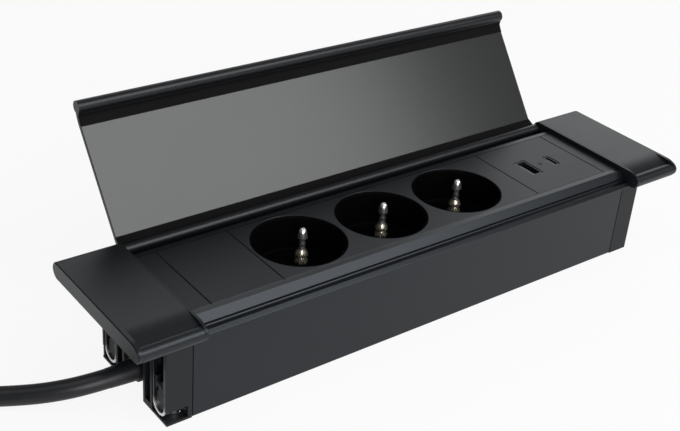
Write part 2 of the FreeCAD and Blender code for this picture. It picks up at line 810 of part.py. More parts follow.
def make_lid():
    body = new_body("lid_extrusion")
    section = sketch(body, "YZ_Plane", "section")
    draw(section, lid_outline())
    draw_circle(section, (S.hinge_y, S.hinge_z), S.pin_radius + S.turn_gap)
    pad(body, section, "lid_length", "Symmetric")
    recess = sketch(body, "XY_Plane", "insert_recess", "flange_top - lid_thick")
    reach = S.lid_length / 2 + 1
    draw(recess, rectangle(-reach, reach, -S.insert_front, S.insert_back))
    pocket(body, recess, "insert_thick", upward=True)
    swung_open(piece("lid", body))
    insert = new_body("insert")
    outline = sketch(insert, "XY_Plane", "outline", "flange_top - lid_thick")
    reach = S.lid_length / 2 - S.slide_gap
    draw(outline, rectangle(-reach, reach, S.fit_gap - S.insert_front, S.insert_back - S.fit_gap))
    pad(insert, outline, "insert_thick")
    swung_open(piece("lid_insert", insert))
    pins = []
    for name, span in (("right", (f"{WELL_END} - pin_reach", f"{FLANGE_START} + pin_seat")),
                       ("left", (f"-({FLANGE_START} + pin_seat)", f"pin_reach - {WELL_END}"))):
        pins.append(rod(f"hinge_pin_{name}", "x", ("hinge_y", "hinge_z"), span, "pin_radius"))
    piece("hinge_pins", grouped("hinge_pin_pair", *pins))


# Panel fronts that lie on the channel's ledges

def panel(label, low, high, openings=None):
    """A front plate between two places along X, with its upper edges broken."""
    body = new_body(f"{label}_plate")
    outline = sketch(body, "XY_Plane", "outline", PANEL_UNDER)
    draw(outline, rectangle(low + S.fit_gap, high - S.fit_gap,
                            S.fit_gap - S.well_front, S.well_back - S.fit_gap))
    if openings:
        openings(outline)
    plate = pad(body, outline, "panel_thick")
    chamfer_face(body, plate, "z", S.panel_top, "panel_chamfer")
    piece(label, body)


def socket_holes(outline):
    for x in socket_places:
        draw_circle(outline, (x, S.well_shift), S.recess_radius + S.cup_wall + S.fit_gap)


def usb_openings(outline):
    half_x = S.usb_a_width / 2 + S.port_margin
    half_y = S.usb_a_length / 2 + S.port_margin
    draw(outline, rectangle(S.usb_a_x - half_x, S.usb_a_x + half_x,
                            S.usb_y - half_y, S.usb_y + half_y))
    draw_slot(outline, (S.usb_c_x, S.usb_y), S.usb_c_length + 2 * S.port_margin,
              S.usb_c_width + 2 * S.port_margin)
    draw_circle(outline, (S.led_x, S.usb_y), S.led_radius + S.fit_gap / 2)


def make_panels():
    well = S.well_length / 2
    blank_end = S.left_strip + S.blank_width - well
    panel("left_end_strip", -well, S.left_strip - well)
    panel("blank_plate", S.left_strip - well, blank_end)
    panel("socket_panel", blank_end, S.usb_start, openings=socket_holes)
    panel("usb_faceplate", S.usb_start, S.usb_end, openings=usb_openings)
    panel("right_end_strip", S.usb_end, well)


# Sockets

def socket_insert(name):
    """The round recess: a turned cup with guide keys, two contact holes and the earth hole."""
    body = new_body(f"{name}_cup")
    section = sketch(body, "XZ_Plane", "section")
    outer = S.recess_radius + S.cup_wall
    seat = S.panel_top - S.panel_thick
    bottom = -S.recess_floor - S.cup_floor
    draw(section, [
        (0, bottom), (outer, bottom), (outer, seat - S.cup_rim_height),
        (S.cup_shoulder, seat - S.cup_rim_height),
        (S.cup_shoulder, seat), (outer, seat), (outer, S.panel_top),
        (S.recess_radius + S.rim_lead, S.panel_top),
        (S.recess_radius, S.panel_top - 2 * S.rim_lead),
        (S.recess_radius, S.recess_round - S.recess_floor),
        (S.recess_radius - S.recess_round, -S.recess_floor), (0, -S.recess_floor),
    ])
    revolve(body, section)
    guides = sketch(body, "XY_Plane", "guides", "-recess_floor")
    half = S.guide_width / 2
    for sign in (-1, 1):
        near = sign * (S.recess_radius - S.guide_reach)
        far = sign * (S.recess_radius + S.cup_wall / 2)
        draw(guides, [diagonal(-half, near), diagonal(half, near), diagonal(half, far),
                      diagonal(-half, far)])
    pad(body, guides, "recess_floor + guide_top")
    holes = sketch(body, "XY_Plane", "holes", "-recess_floor")
    for sign in (-1, 1):
        draw_circle(holes, diagonal(0, sign * S.contact_spacing / 2), S.contact_hole)
    draw_circle(holes, diagonal(S.earth_offset, 0), S.earth_shank + S.fit_gap)
    pocket(body, holes, "cup_floor + 1")
    return body


def earth_pin(name):
    """A turned pin: shank through the floor, collar on it, round tip level with the panel."""
    body = new_body(f"{name}_turned")
    section = sketch(body, "XZ_Plane", "section")
    foot = -S.base_bottom - S.earth_bar_drop
    floor = -S.recess_floor
    collar = floor + S.earth_collar_height
    waist = S.earth_radius - S.earth_waist
    taper = S.earth_tip - S.earth_taper
    dome = (0, S.earth_tip - S.earth_dome)
    draw(section, [
        (0, foot), (S.earth_shank, foot), (S.earth_shank, floor), (S.earth_collar, floor),
        (S.earth_collar, collar), (S.earth_collar - 0.4, collar + 0.4), (waist, collar + 2.2),
        (waist, taper - 1), (S.earth_radius, taper), polar(S.earth_dome, 15, dome),
        (*polar(S.earth_dome, 52.5, dome), 0, S.earth_tip),
    ])
    revolve(body, section)
    return body


def shutter_box(name, pocket_size):
    """The shutter's plate, or the pocket that it slides in, lengthwise along the contacts."""
    grow = S.slide_gap if pocket_size else 0.0
    back = S.shutter_width / 2 + grow
    front = -S.shutter_width / 2 - grow - (S.shutter_travel if pocket_size else 0.0)
    half = S.shutter_length / 2 + grow
    roof = -S.recess_floor - S.cup_floor
    top = roof if pocket_size else roof - S.slide_gap
    depth = S.shutter_pocket if pocket_size else S.shutter_thick
    body = new_body(name)
    outline = sketch(body, "XY_Plane", "outline", str(top))
    draw(outline, [diagonal(front, -half), diagonal(back, -half), diagonal(back, half),
                   diagonal(front, half)])
    feature = pad(body, outline, str(depth))
    feature.Reversed = True
    return body


def socket_base(name):
    """The contact housing under a recess: shutter pocket, contact wells and earth hole."""
    side = ("-base_side / 2", "base_side / 2")
    bulk = block(f"{name}_bulk", side, side, ("-base_bottom", BASE_TOP))
    tools = [shutter_box(f"{name}_pocket", pocket_size=True)]
    for number, sign in enumerate((-1, 1)):
        x, y = diagonal(0, sign * S.contact_spacing / 2)
        tools.append(rod(f"{name}_well_{number}", "z", (x, y),
                         ("base_floor - base_bottom", f"{BASE_TOP} - 1"),
                         "contact_well"))
        tools.append(rod(f"{name}_stem_hole_{number}", "z", (x, y),
                         ("-base_bottom - 1", "base_floor - base_bottom + 1"),
                         "clip_stem + fit_gap"))
    x, y = diagonal(S.earth_offset, 0)
    tools.append(rod(f"{name}_earth_hole", "z", (x, y),
                     ("-base_bottom - 1", f"{BASE_TOP} + 1"),
                     "earth_shank + fit_gap"))
    return less(f"{name}_hollow", bulk, *tools)


def contact_clip(name, x, y):
    """A slotted sleeve that grips a plug pin, on a stem down to its busbar."""
    foot = "base_floor - base_bottom"
    sleeve = rod(f"{name}_sleeve", "z", (x, y), (foot, "-clip_top"), "clip_outer")
    bore = rod(f"{name}_bore", "z", (x, y), (f"{foot} + 2", "1 - clip_top"), "clip_inner")
    slot = block(f"{name}_slot", (f"{x} - clip_outer - 1", f"{x} + clip_outer + 1"),
                 (f"{y} - clip_slot / 2", f"{y} + clip_slot / 2"), (f"{foot} + 4", "1 - clip_top"))
    stem = rod(f"{name}_stem", "z", (x, y), ("-base_bottom", foot), "clip_stem")
    return fused(name, less(f"{name}_cut", sleeve, bore, slot), stem)


def make_sockets():
    clips = []
    for number, place in enumerate(socket_places, start=1):
        move = f"socket_middle + {number - 2} * socket_pitch"
        parts = {
            f"socket_insert_{number}": socket_insert(f"insert_{number}"),
            f"earth_pin_{number}": earth_pin(f"earth_pin_{number}"),
            f"socket_base_{number}": socket_base(f"base_{number}"),
            f"shutter_{number}": shutter_box(f"shutter_plate_{number}", pocket_size=False),
        }
        for label, item in parts.items():
            bind(item, "Placement.Base.x", move)
            bind(item, "Placement.Base.y", "well_shift")
            piece(label, item)
        x, y = diagonal(S.earth_offset, 0)
        bind(parts[f"earth_pin_{number}"], "Placement.Base.x", f"{move} + {x}")
        bind(parts[f"earth_pin_{number}"], "Placement.Base.y", f"well_shift + {y}")
        for sign in (-1, 1):
            x, y = diagonal(0, sign * S.contact_spacing / 2)
            name = f"clip_{number}_{len(clips)}"
            clips.append(contact_clip(name, place + x, S.well_shift + y))
    piece("contact_clips", grouped("contact_clip_set", *clips))


def make_busbars():
    """Two live bars under the bases and the earth bar below them, from the terminal block."""
    across = diagonal(0, S.contact_spacing / 2)[1]
    line_y, neutral_y = S.well_shift + across, S.well_shift - across
    earth_x, earth_y = diagonal(S.earth_offset, 0)
    earth_y += S.well_shift
    live = ("-base_bottom - bar_thick", "-base_bottom")
    span = ("terminal_end", "bar_end")
    line = block("line_bar_blank", span, (f"{line_y} - bar_width / 2", f"{line_y} + bar_width / 2"),
                 live)
    holes = [rod(f"line_bar_hole_{number}", "z", (place + earth_x, earth_y),
                 ("-base_bottom - 3", "1 - base_bottom"), "earth_shank + bar_hole_gap")
             for number, place in enumerate(socket_places)]
    neutral = block("neutral_bar", span,
                    (f"{neutral_y} - bar_width / 2", f"{neutral_y} + bar_width / 2"), live)
    earth_top = "-base_bottom - earth_bar_drop"
    earth = block("earth_bar", span, (f"{earth_y} - earth_bar_width / 2",
                                      f"{earth_y} + earth_bar_width / 2"),
                  (f"{earth_top} - bar_thick", earth_top))
    piece("busbars", grouped("busbar_set", less("line_bar", line, *holes), neutral, earth))


# USB charger

def make_usb_charger():
    floor = "-board_top"
    top = "panel_top - port_margin"
    x_low, x_high = "usb_a_x - usb_a_width / 2", "usb_a_x + usb_a_width / 2"
    y_low, y_high = "usb_y - usb_a_length / 2", "usb_y + usb_a_length / 2"
    shell = block("usb_a_shell", (x_low, x_high), (y_low, y_high), (floor, top))
    room = block("usb_a_room", (f"{x_low} + shell_wall", f"{x_high} - shell_wall"),
                 (f"{y_low} + shell_wall", f"{y_high} - shell_wall"), (f"{top} - usb_a_throat", f"{top} + 1"))
    tongue = block("usb_a_tongue", (f"{x_low} + tongue_thick / 2", f"{x_low} + 1.5 * tongue_thick"),
                   ("usb_y - tongue_width / 2", "usb_y + tongue_width / 2"),
                   (f"{top} - usb_a_throat", f"{top} - tongue_setback"))
    piece("usb_a_port", grouped("usb_a_parts", less("usb_a_box", shell, room), tongue))

    port = new_body("usb_c_shell")
    outline = sketch(port, "XY_Plane", "outline", floor)
    draw_slot(outline, (S.usb_c_x, S.usb_y), S.usb_c_length, S.usb_c_width)
    pad(port, outline, "board_top + panel_top - port_margin")
    mouth = sketch(port, "XY_Plane", "mouth", top)
    draw_slot(mouth, (S.usb_c_x, S.usb_y), S.usb_c_length - 2 * S.shell_wall,
              S.usb_c_width - 2 * S.shell_wall)
    pocket(port, mouth, "usb_c_throat")
    blade = block("usb_c_blade", ("usb_c_x - blade_thick / 2", "usb_c_x + blade_thick / 2"),
                  ("usb_y - blade_width / 2", "usb_y + blade_width / 2"),
                  (f"{top} - usb_c_throat", f"{top} - blade_thick"))
    piece("usb_c_port", grouped("usb_c_parts", port, blade))

    piece("led_guide", rod("led_rod", "z", ("led_x", "usb_y"), (floor, "panel_top - 0.1"),
                           "led_radius"))

    make_charger()


def make_charger():
    """The tub under the USB face plate, with the board on its rests."""
    low, high = "usb_start + charger_margin", "usb_end - charger_margin"
    x_inside = (f"{low} + charger_wall", f"{high} - charger_wall")
    y_outside = ("well_shift - base_side / 2", "well_shift + base_side / 2")
    y_inside = (f"{y_outside[0]} + charger_wall", f"{y_outside[1]} - charger_wall")
    inside_floor = "charger_wall - charger_depth"
    board_under = "-board_top - board_thick"
    outer = block("charger_outer", (low, high), y_outside, ("-charger_depth", PANEL_UNDER))
    inner = block("charger_inner", x_inside, y_inside, (inside_floor, f"{PANEL_UNDER} + 1"))
    rests = [block("board_rest_left", (x_inside[0], f"{x_inside[0]} + board_rest"), y_inside,
                   (inside_floor, board_under)),
             block("board_rest_right", (f"{x_inside[1]} - board_rest", x_inside[1]), y_inside,
                   (inside_floor, board_under))]
    piece("charger_housing", fused("charger_tub", less("charger_shell", outer, inner), *rests))

    board = block("charger_board", (f"{x_inside[0]} + fit_gap", f"{x_inside[1]} - fit_gap"),
                  (f"{y_inside[0]} + fit_gap", f"{y_inside[1]} - fit_gap"),
                  (board_under, "-board_top"))
    middle = "(usb_start + usb_end) / 2"
    transformer = block("transformer", (f"{middle} - 0.8 * transformer_side",
                                        f"{middle} + 0.2 * transformer_side"),
                        ("-0.8 * transformer_side", "0.2 * transformer_side"),
                        (f"{board_under} - transformer_height", board_under))
    beside = f"{middle} + 0.2 * transformer_side + 1.6 * capacitor_radius"
    capacitor = rod("capacitor", "z", (beside, "-capacitor_radius"),
                    (f"{board_under} - transformer_height + 1", board_under), "capacitor_radius")
    choke = rod("choke", "z", (beside, "2 * capacitor_radius"),
                (f"{board_under} - transformer_height / 2", board_under), "choke_radius")
    piece("usb_board", grouped("usb_board_parts", board, transformer, capacitor, choke))


# Cable entry and terminals

def make_cable_entry():
    """Terminal block, grommet, the lead's end inside the channel, and its clamp."""
    bottom = INSIDE_FLOOR
    block_top = f"{INSIDE_FLOOR} + terminal_height"
    solid = block("terminal_solid", ("terminal_start", "terminal_end"),
                  ("-terminal_width / 2", "terminal_width / 2"), (bottom, block_top))
    pits = [rod(f"terminal_pit_{number}", "z",
                ("(terminal_start + terminal_end) / 2", f"{number - 1} * terminal_pitch"),
                (f"{block_top} - terminal_pit", f"{block_top} + 1"), "terminal_pit")
            for number in range(3)]
    piece("terminal_block", less("terminal_pitted", solid, *pits))

    axis = ("0", "cable_exit_z")
    mouth = f"-({CAP_FACE}) - grommet_reach"
    sleeve = rod("grommet_sleeve", "x", axis, (mouth, f"-({CHANNEL_END})"),
                 "cable_radius + grommet_wall - fit_gap")
    flange = rod("grommet_flange", "x", axis,
                 (f"-({CAP_FACE}) - grommet_wall", f"-({CAP_FACE})"),
                 "cable_radius + grommet_flange")
    bore = rod("grommet_bore", "x", axis, (f"{mouth} - 1", f"1 - {CHANNEL_END}"),
               "cable_radius + fit_gap")
    piece("cable_grommet", less("grommet_bored", fused("grommet_solid", sleeve, flange), bore))
    sheath = rod("tail_sheath", "x", axis, (mouth, "tail_end"), "cable_radius")
    cores = [rod(f"core_{number}", "x", (f"{number - 1} * core_spacing", "cable_exit_z"),
                 ("tail_end", "terminal_start"), "core_radius") for number in range(3)]
    piece("cable_tail", fused("cable_tail_whole", sheath, *cores))

    x = ("saddle_start", "saddle_end")
    y = ("-saddle_side / 2", "saddle_side / 2")
    top = "cable_exit_z + cable_radius + bar_cover"
    groove = rod("saddle_groove", "x", axis, ("saddle_start - 1", "saddle_end + 1"),
                 "cable_radius + fit_gap / 2")
    saddle = block("saddle_block", x, y, (bottom, "cable_exit_z - saddle_split / 2"))
    bar = block("bar_block", x, y, ("cable_exit_z + saddle_split / 2", top))
    holes, screws = [], []
    for side in ("back", "front"):
        at = ("(saddle_start + saddle_end) / 2",
              "bar_screw_place" if side == "back" else "-bar_screw_place")
        holes.append(rod(f"clamp_bar_hole_{side}", "z", at, (f"{bottom} + bar_screw", f"{top} + 1"),
                         "bar_screw + fit_gap"))
        head = rod(f"bar_screw_head_{side}", "z", at, (top, f"{top} + bar_screw_head * 0.8"),
                   "bar_screw_head")
        shank = rod(f"bar_screw_shank_{side}", "z", at, (f"{bottom} + 1.5 * bar_screw", top),
                    "bar_screw")
        screws.append(fused(f"bar_screw_{side}", head, shank))
    piece("cable_saddle", less("saddle_cut", saddle, groove, *holes))
    bar_cut = less("clamp_bar_cut", bar, groove, *holes)
    piece("cable_clamp_bar", grouped("clamp_bar_parts", bar_cut, *screws))


# Free mains lead

def unit(direction):
    return direction * (1.0 / direction.Length)


def arc_from(start, heading, end):
    """The arc that leaves a point along a heading and ends at another point."""
    chord = end - start
    along = unit(chord)
    sideways = heading - along * heading.dot(along)
    if sideways.Length < 1e-7:
        return Part.LineSegment(start, end).toShape()
    bend = math.acos(max(-1.0, min(1.0, heading.dot(along))))
    top = (start + end) * 0.5 + unit(sideways) * (chord.Length / 2 * math.tan(bend / 2))
    return Part.Arc(start, top, end).toShape()


def biarc(start, heading, end, heading_end):
    """Two arcs that join two points and share a tangent where they meet."""
    chord = end - start
    both = heading + heading_end
    spread = 2 * (1 - heading.dot(heading_end))
    reach = chord.dot(both)
    if spread < 1e-9:
        step = chord.dot(chord) / (2 * reach)
    else:
        step = (math.sqrt(reach * reach + spread * chord.dot(chord)) - reach) / spread
    middle = (start + end + (heading - heading_end) * step) * 0.5
    back = arc_from(end, heading_end * -1, middle)
    return [arc_from(start, heading, middle), back]


def tube(path, start, heading, radius):
    """A round solid swept along a wire."""
    circle = Part.Wire([Part.Circle(start, heading, radius).toShape()])
    return path.makePipeShell([circle], True, False)


def rounded_route(points):
    """Straight runs through the points, each corner an arc as large as its two runs allow."""
    edges, radii = [], []
    here = points[0]
    for before, corner, after in zip(points, points[1:], points[2:]):
        into, out = unit(corner - before), unit(after - corner)
        half_turn = math.acos(into.dot(out)) / 2
        trim = 0.45 * min((corner - before).Length, (after - corner).Length)
        bend = trim / math.tan(half_turn)
        first, last = corner - into * trim, corner + out * trim
        inward = unit(out - into)
        middle = corner + inward * (bend / math.cos(half_turn) - bend)
        edges.append(Part.LineSegment(here, first).toShape())
        edges.append(Part.Arc(first, middle, last).toShape())
        radii.append(round(bend, 1))
        here = last
    edges.append(Part.LineSegment(here, points[-1]).toShape())
    return Part.Wire(edges), radii


def coil_point(turn, lower, upper, pitch, layer):
    """Radius, height and their slopes after turning so far: in below, climbing, out above."""
    rate = pitch / (2 * math.pi)
    inner = S.coil_outer - rate * lower
    if turn <= lower:
        return S.coil_outer - rate * turn, 0.0, -rate, 0.0
    if turn >= lower + math.pi:
        return inner + rate * (turn - lower - math.pi), layer, rate, 0.0
    part = turn - lower
    radius = inner - rate * (part - part * part / math.pi)
    return (radius, layer * (1 - math.cos(part)) / 2, -rate * (1 - 2 * part / math.pi),
            layer * math.sin(part) / 2)


def coil_path(end_of_route, heading):
    """Points and headings of the coil, an eighth of a turn apart, with straight ends."""
    pitch = 2 * S.cable_radius + S.coil_gap
    lower = 2 * math.pi * S.coil_lower_turns
    upper = 2 * math.pi * S.coil_upper_turns
    total = lower + math.pi + upper
    first = math.radians(S.coil_start_angle)
    lead = 2 * S.cable_radius
    entry = end_of_route + heading * lead
    centre = entry - vector(math.cos(first), math.sin(first)) * S.coil_outer
    steps = round(total / (math.pi / 4))
    places = []
    for count in range(steps + 1):
        turn = total * count / steps
        radius, height, slope, climb = coil_point(turn, lower, upper, pitch, pitch)
        angle = first + turn
        spoke = vector(math.cos(angle), math.sin(angle))
        around = vector(-math.sin(angle), math.cos(angle))
        place = centre + spoke * radius + vector(0, 0, height)
        places.append((place, unit(spoke * slope + around * radius + vector(0, 0, climb))))
    return places, centre


def least_self_gap(path, radius):
    """The least gap between the tube's own turns, on points a millimetre apart."""
    points = path.discretize(Distance=2.0)
    least = 1e9
    skip = 16
    for one in range(0, len(points)):
        for other in range(one + skip, len(points)):
            least = min(least, points[one].distanceToPoint(points[other]))
    return least - 2 * radius


def make_mains_lead():
    """The free stretch on the table, the put-away coil and the plug that lies beside it."""
    low = table + S.cable_radius
    exit_x = -(S.channel_length / 2 + S.cap_plate + S.grommet_reach)
    route = [vector(exit_x - along, aside, max(table + height, low)) for along, aside, height in (
        (0.0, 0.0, S.cable_height), (8.2, 0.0, S.cable_height), (17.1, 1.4, 10.1),
        (27.0, 4.9, 8.4), (38.0, 11.0, 6.3), (51.3, 20.0, 4.6), (70.1, 31.4, 0.0))]
    pitch_slope = math.degrees(math.atan((2 * S.cable_radius + S.coil_gap)
                                         / (2 * math.pi * S.coil_outer)))
    heading = vector(*polar(1.0, S.coil_start_angle + 90 + pitch_slope))
    last = route[-1] + heading * 21
    route.append(vector(last.x, last.y, low))
    path, radii = rounded_route(route)
    cable = tube(path, route[0], vector(-1, 0, 0), S.cable_radius)
    section = math.pi * S.cable_radius ** 2
    print("lead: radii", radii, "length", round(path.Length, 1),
          "volume ratio", round(cable.Volume / (section * path.Length), 4))
    piece("power_cable", shaped("power_cable", cable))

    places, centre = coil_path(route[-1], heading)
    edges = [Part.LineSegment(route[-1], places[0][0]).toShape()]
    for (start, along), (end, along_end) in zip(places, places[1:]):
        edges += biarc(start, along, end, along_end)
    tail_heading = places[-1][1]
    tail = places[-1][0] + tail_heading * S.coil_tail
    edges.append(Part.LineSegment(places[-1][0], tail).toShape())
    coil_wire = Part.Wire(Part.__sortEdges__(edges))
    coil = tube(coil_wire, route[-1], heading, S.cable_radius)
    print("coil: centre", [round(value, 1) for value in centre], "length",
          round(coil_wire.Length, 1), "volume ratio",
          round(coil.Volume / (section * coil_wire.Length), 4), "least gap",
          round(least_self_gap(coil_wire, S.cable_radius), 2))
    piece("cable_coil", shaped("cable_coil", coil))
    make_plug(tail, tail_heading)


def make_plug(cord_end, heading):
    """A side-entry plug on its back, pins up: round body, ribbed relief, earth strips."""
    angle = math.degrees(math.atan2(heading.y, heading.x))
    back = table - cord_end.z
    reach = S.plug_relief + S.plug_radius - 3.0
    body = new_body("plug_form")
    section = sketch(body, "XZ_Plane", "section")
    top = back + S.plug_height
    rim = S.plug_radius
    draw(section, [
        (0, back), (rim - 3, back), (rim - 0.9, back + 0.9, rim, back + 3),
        (rim, top - 5), (rim - 1.6, top - 4.4), (rim - 1.6, top - 1),
        (rim - 2.6, top), (0, top),
    ])
    revolve(body, section)
    hollow = sketch(body, "XY_Plane", "earth_socket", str(top))
    draw_circle(hollow, (S.earth_offset, 0), S.earth_radius + 0.3)
    pocket(body, hollow, "17")
    sides = sketch(body, "XY_Plane", "earth_strip_grooves", str(top))
    for sign in (-1, 1):
        low, high = sorted((sign * (rim - 1.6 - S.plug_recess), sign * (rim + 1)))
        draw(sides, rectangle(-2.5, 2.5, low, high))
    pocket(body, sides, "14")
    doc.recompute()
    shape = body.Shape.copy()
    shape.translate(vector(reach, 0, 0))
    cone = Part.makeCone(S.cable_radius + 0.9, 8.4, S.plug_relief + 3, vector(0, 0, 0),
                         vector(1, 0, 0))
    for number in range(5):
        ring = Part.makeTorus(6.9 + 0.62 * number, 1.0, vector(5 + 4.2 * number, 0, 0),
                              vector(1, 0, 0))
        cone = cone.cut(ring)
    shape = shape.fuse(cone).removeSplitter()
    turn = FreeCAD.Placement(cord_end, turned(angle))
    plug = shaped("plug", shape)
    plug.Placement = turn
    body.Visibility = False
    piece("plug_body", plug)

    pins = []
    for sign in (-1, 1):
        foot = vector(reach, sign * S.contact_spacing / 2, top)
        shank = Part.makeCylinder(S.plug_pin_radius, S.plug_pin_length - 2, foot)
        tip = Part.makeCone(S.plug_pin_radius, S.plug_pin_radius - 1, 2,
                            foot + vector(0, 0, S.plug_pin_length - 2))
        pins.append(shank.fuse(tip).removeSplitter())
    strips = []
    for sign in (-1, 1):
        depth = rim - 1.6 - S.plug_recess
        low = min(sign * depth, sign * (depth + 1.0))
        strips.append(Part.makeBox(4, 1.0, 14, vector(reach - 2, low, top - 14)))
    contacts = shaped("plug_contact_set", Part.makeCompound(pins + strips))
    contacts.Placement = turn
    piece("plug_contacts", contacts)


# Desk clamps, made for the right back corner and mirrored to the others

def clamp_screw():
    at = ("clamp_x", "clamp_y")
    seat = "-shelf_top - shelf_thick - slide_gap"
    head = rod("clamp_head", "z", at, (f"{seat} - clamp_head", seat), "clamp_head_radius")
    socket = rod("clamp_hex", "z", at, (f"{seat} - clamp_head - 1", f"{seat} - clamp_head / 2"),
                 "clamp_hex")
    shank = rod("clamp_shank", "z", at, (seat, "-clamp_top"), "clamp_screw_radius")
    return less("clamp_screw_solid", fused("clamp_screw_blank", head, shank), socket)


def clamp_carriage():
    """The block that rides on the screw, with two ears and the claw's trunnion between them."""
    y_low, y_high = "claw_bay_inner + slide_gap", "claw_bay_outer - slide_gap"
    ear_low = "claw_bay_inner + slide_gap + stirrup_thick + slide_gap"
    ear_high = "claw_bay_outer - slide_gap - stirrup_thick - slide_gap"
    low, high = "-carriage_top - carriage_height", "-carriage_top"
    start = f"{CAP_FACE} + slide_gap"
    core = block("carriage_core", (start, f"{start} + carriage_depth"), (y_low, y_high), (low, high))
    bore = rod("carriage_bore", "z", ("clamp_x", "clamp_y"), (f"{low} - 1", f"{high} + 1"),
               "clamp_screw_radius + slide_gap")
    ear_x = (f"{start} + carriage_depth", "claw_pin_x + ear_cover")
    ear_z = (f"{low} + 1", f"{high} - 1")
    ears = [block("ear_inner", ear_x, (ear_low, f"{ear_low} + ear_thick"), ear_z),
            block("ear_outer", ear_x, (f"{ear_high} - ear_thick", ear_high), ear_z)]
    trunnion = rod("trunnion", "y", ("claw_pin_x", "-claw_pin_z"), (ear_low, ear_high),
                   "claw_pin_radius")
    return fused("carriage_solid", less("carriage_bored", core, bore), *ears, trunnion)


def clamp_claw():
    """The flat claw: narrow neck between the ears, wide round end hanging below them."""
    wide = S.bay_width / 2 - S.stirrup_thick - 2 * S.slide_gap
    narrow = wide - S.ear_thick - S.slide_gap
    body = new_body("claw_plate")
    face = sketch(body, "YZ_Plane", "face", "claw_pin_x - claw_thick / 2")
    top = -S.claw_pin_z
    shoulder = top - S.claw_shoulder
    centre = top - S.claw_length + wide
    middle = S.clamp_y
    draw(face, [
        (middle - narrow, top), (middle - narrow, shoulder), (middle - wide, shoulder),
        (middle - wide, centre), (middle, top - S.claw_length, middle + wide, centre),
        (middle + wide, shoulder), (middle + narrow, shoulder), (middle + narrow, top),
    ])
    pad(body, face, "claw_thick")
    half = "(bay_width / 2 - stirrup_thick - ear_thick - 3 * slide_gap)"
    span = (f"clamp_y - {half}", f"clamp_y + {half}")
    knuckle = rod("claw_knuckle_rod", "y", ("claw_pin_x", "-claw_pin_z"), span, "claw_knuckle")
    bore = rod("claw_bore", "y", ("claw_pin_x", "-claw_pin_z"),
               (f"{span[0]} - 1", f"{span[1]} + 1"), "claw_pin_radius + turn_gap")
    return less("claw_solid", fused("claw_blank", body, knuckle), bore)


def stirrup(name):
    """The steel U that lines the mouth of a claw bay, closed round below."""
    body = new_body(f"{name}_strap")
    face = sketch(body, "YZ_Plane", "face", f"{CAP_END} - stirrup_depth - slide_gap")
    outer = S.bay_width / 2 - S.fit_gap
    inner = outer - S.stirrup_thick
    middle = S.clamp_y
    top = -S.claw_bay_roof
    centre = table + S.stirrup_lift + outer
    draw(face, [
        (middle - outer, top), (middle - outer, centre),
        (middle, centre - outer, middle + outer, centre), (middle + outer, top),
        (middle + inner, top), (middle + inner, centre),
        (middle, centre - inner, middle - inner, centre), (middle - inner, top),
    ])
    pad(body, face, "stirrup_depth")
    return body


def four_corners(kind, source):
    """A piece at the right back corner and its mirror images at the other three."""
    back = mirrored(f"{kind}_lb", source)
    return {"right_back": source, "right_front": mirrored(f"{kind}_rf", source, (0, 1, 0)),
            "left_back": back, "left_front": mirrored(f"{kind}_lf", back, (0, 1, 0))}


def make_clamps():
    for kind, source in (("clamp_screw", clamp_screw()), ("clamp_carriage", clamp_carriage()),
                         ("clamp_claw", clamp_claw())):
        for corner, item in four_corners(kind, source).items():
            piece(f"{kind}_{corner}", item)
    straps = four_corners("stirrup", stirrup("stirrup")).values()
    piece("clamp_stirrups", grouped("stirrup_set", *straps))


def write_pieces():
    """Check every object and every sub-part's shape, then write one file for each."""
    doc.recompute()
    faults = [f"{item.Label}: {item.State}" for item in doc.Objects
              if "Invalid" in item.State or "Error" in item.State]
    faults += [f"{label}: no valid solid" for label, item in PIECES.items()
               if item.Shape.isNull() or not item.Shape.isValid() or not item.Shape.Solids]
    if faults:
        raise RuntimeError("; ".join(faults))
    os.makedirs("parts", exist_ok=True)
    for label, item in PIECES.items():
        item.Shape.exportStep(f"parts/{label}.step")
    print(len(PIECES), "sub-parts written")


make_channel()
piece("housing_screws", grouped("screw_set", *make_end_caps(), *make_flange_ends()))
make_lid()
make_panels()
make_sockets()
make_busbars()
make_usb_charger()
make_cable_entry()
make_mains_lead()
make_clamps()
write_pieces()
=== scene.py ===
import json
import logging
import math
from dataclasses import dataclass, field
from enum import Enum

import bpy
import numpy as np
from mathutils import Matrix


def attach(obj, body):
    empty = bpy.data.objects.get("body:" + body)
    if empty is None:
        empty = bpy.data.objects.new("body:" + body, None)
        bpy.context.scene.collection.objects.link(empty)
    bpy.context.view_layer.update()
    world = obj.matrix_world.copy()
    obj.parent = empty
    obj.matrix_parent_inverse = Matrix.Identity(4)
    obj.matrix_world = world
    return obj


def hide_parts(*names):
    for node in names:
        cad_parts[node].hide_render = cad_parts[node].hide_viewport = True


# Sizes are in millimetres and are turned to metres by MM; the studio alone is in metres.
MM = 0.001
TABLE_Z = -0.0413

# An edge of a new mesh stays sharp where it bends by more than this, in degrees.
CREASE = 38.0

# The mains lead's radius.
LEAD_RADIUS = 4.1

# The sockets' middles along the strip, and each earth pin's place from its socket's middle.
SOCKET_MIDDLES = (-54.3, -9.3, 35.7)
PIN_OFFSET = (7.071, 8.171)

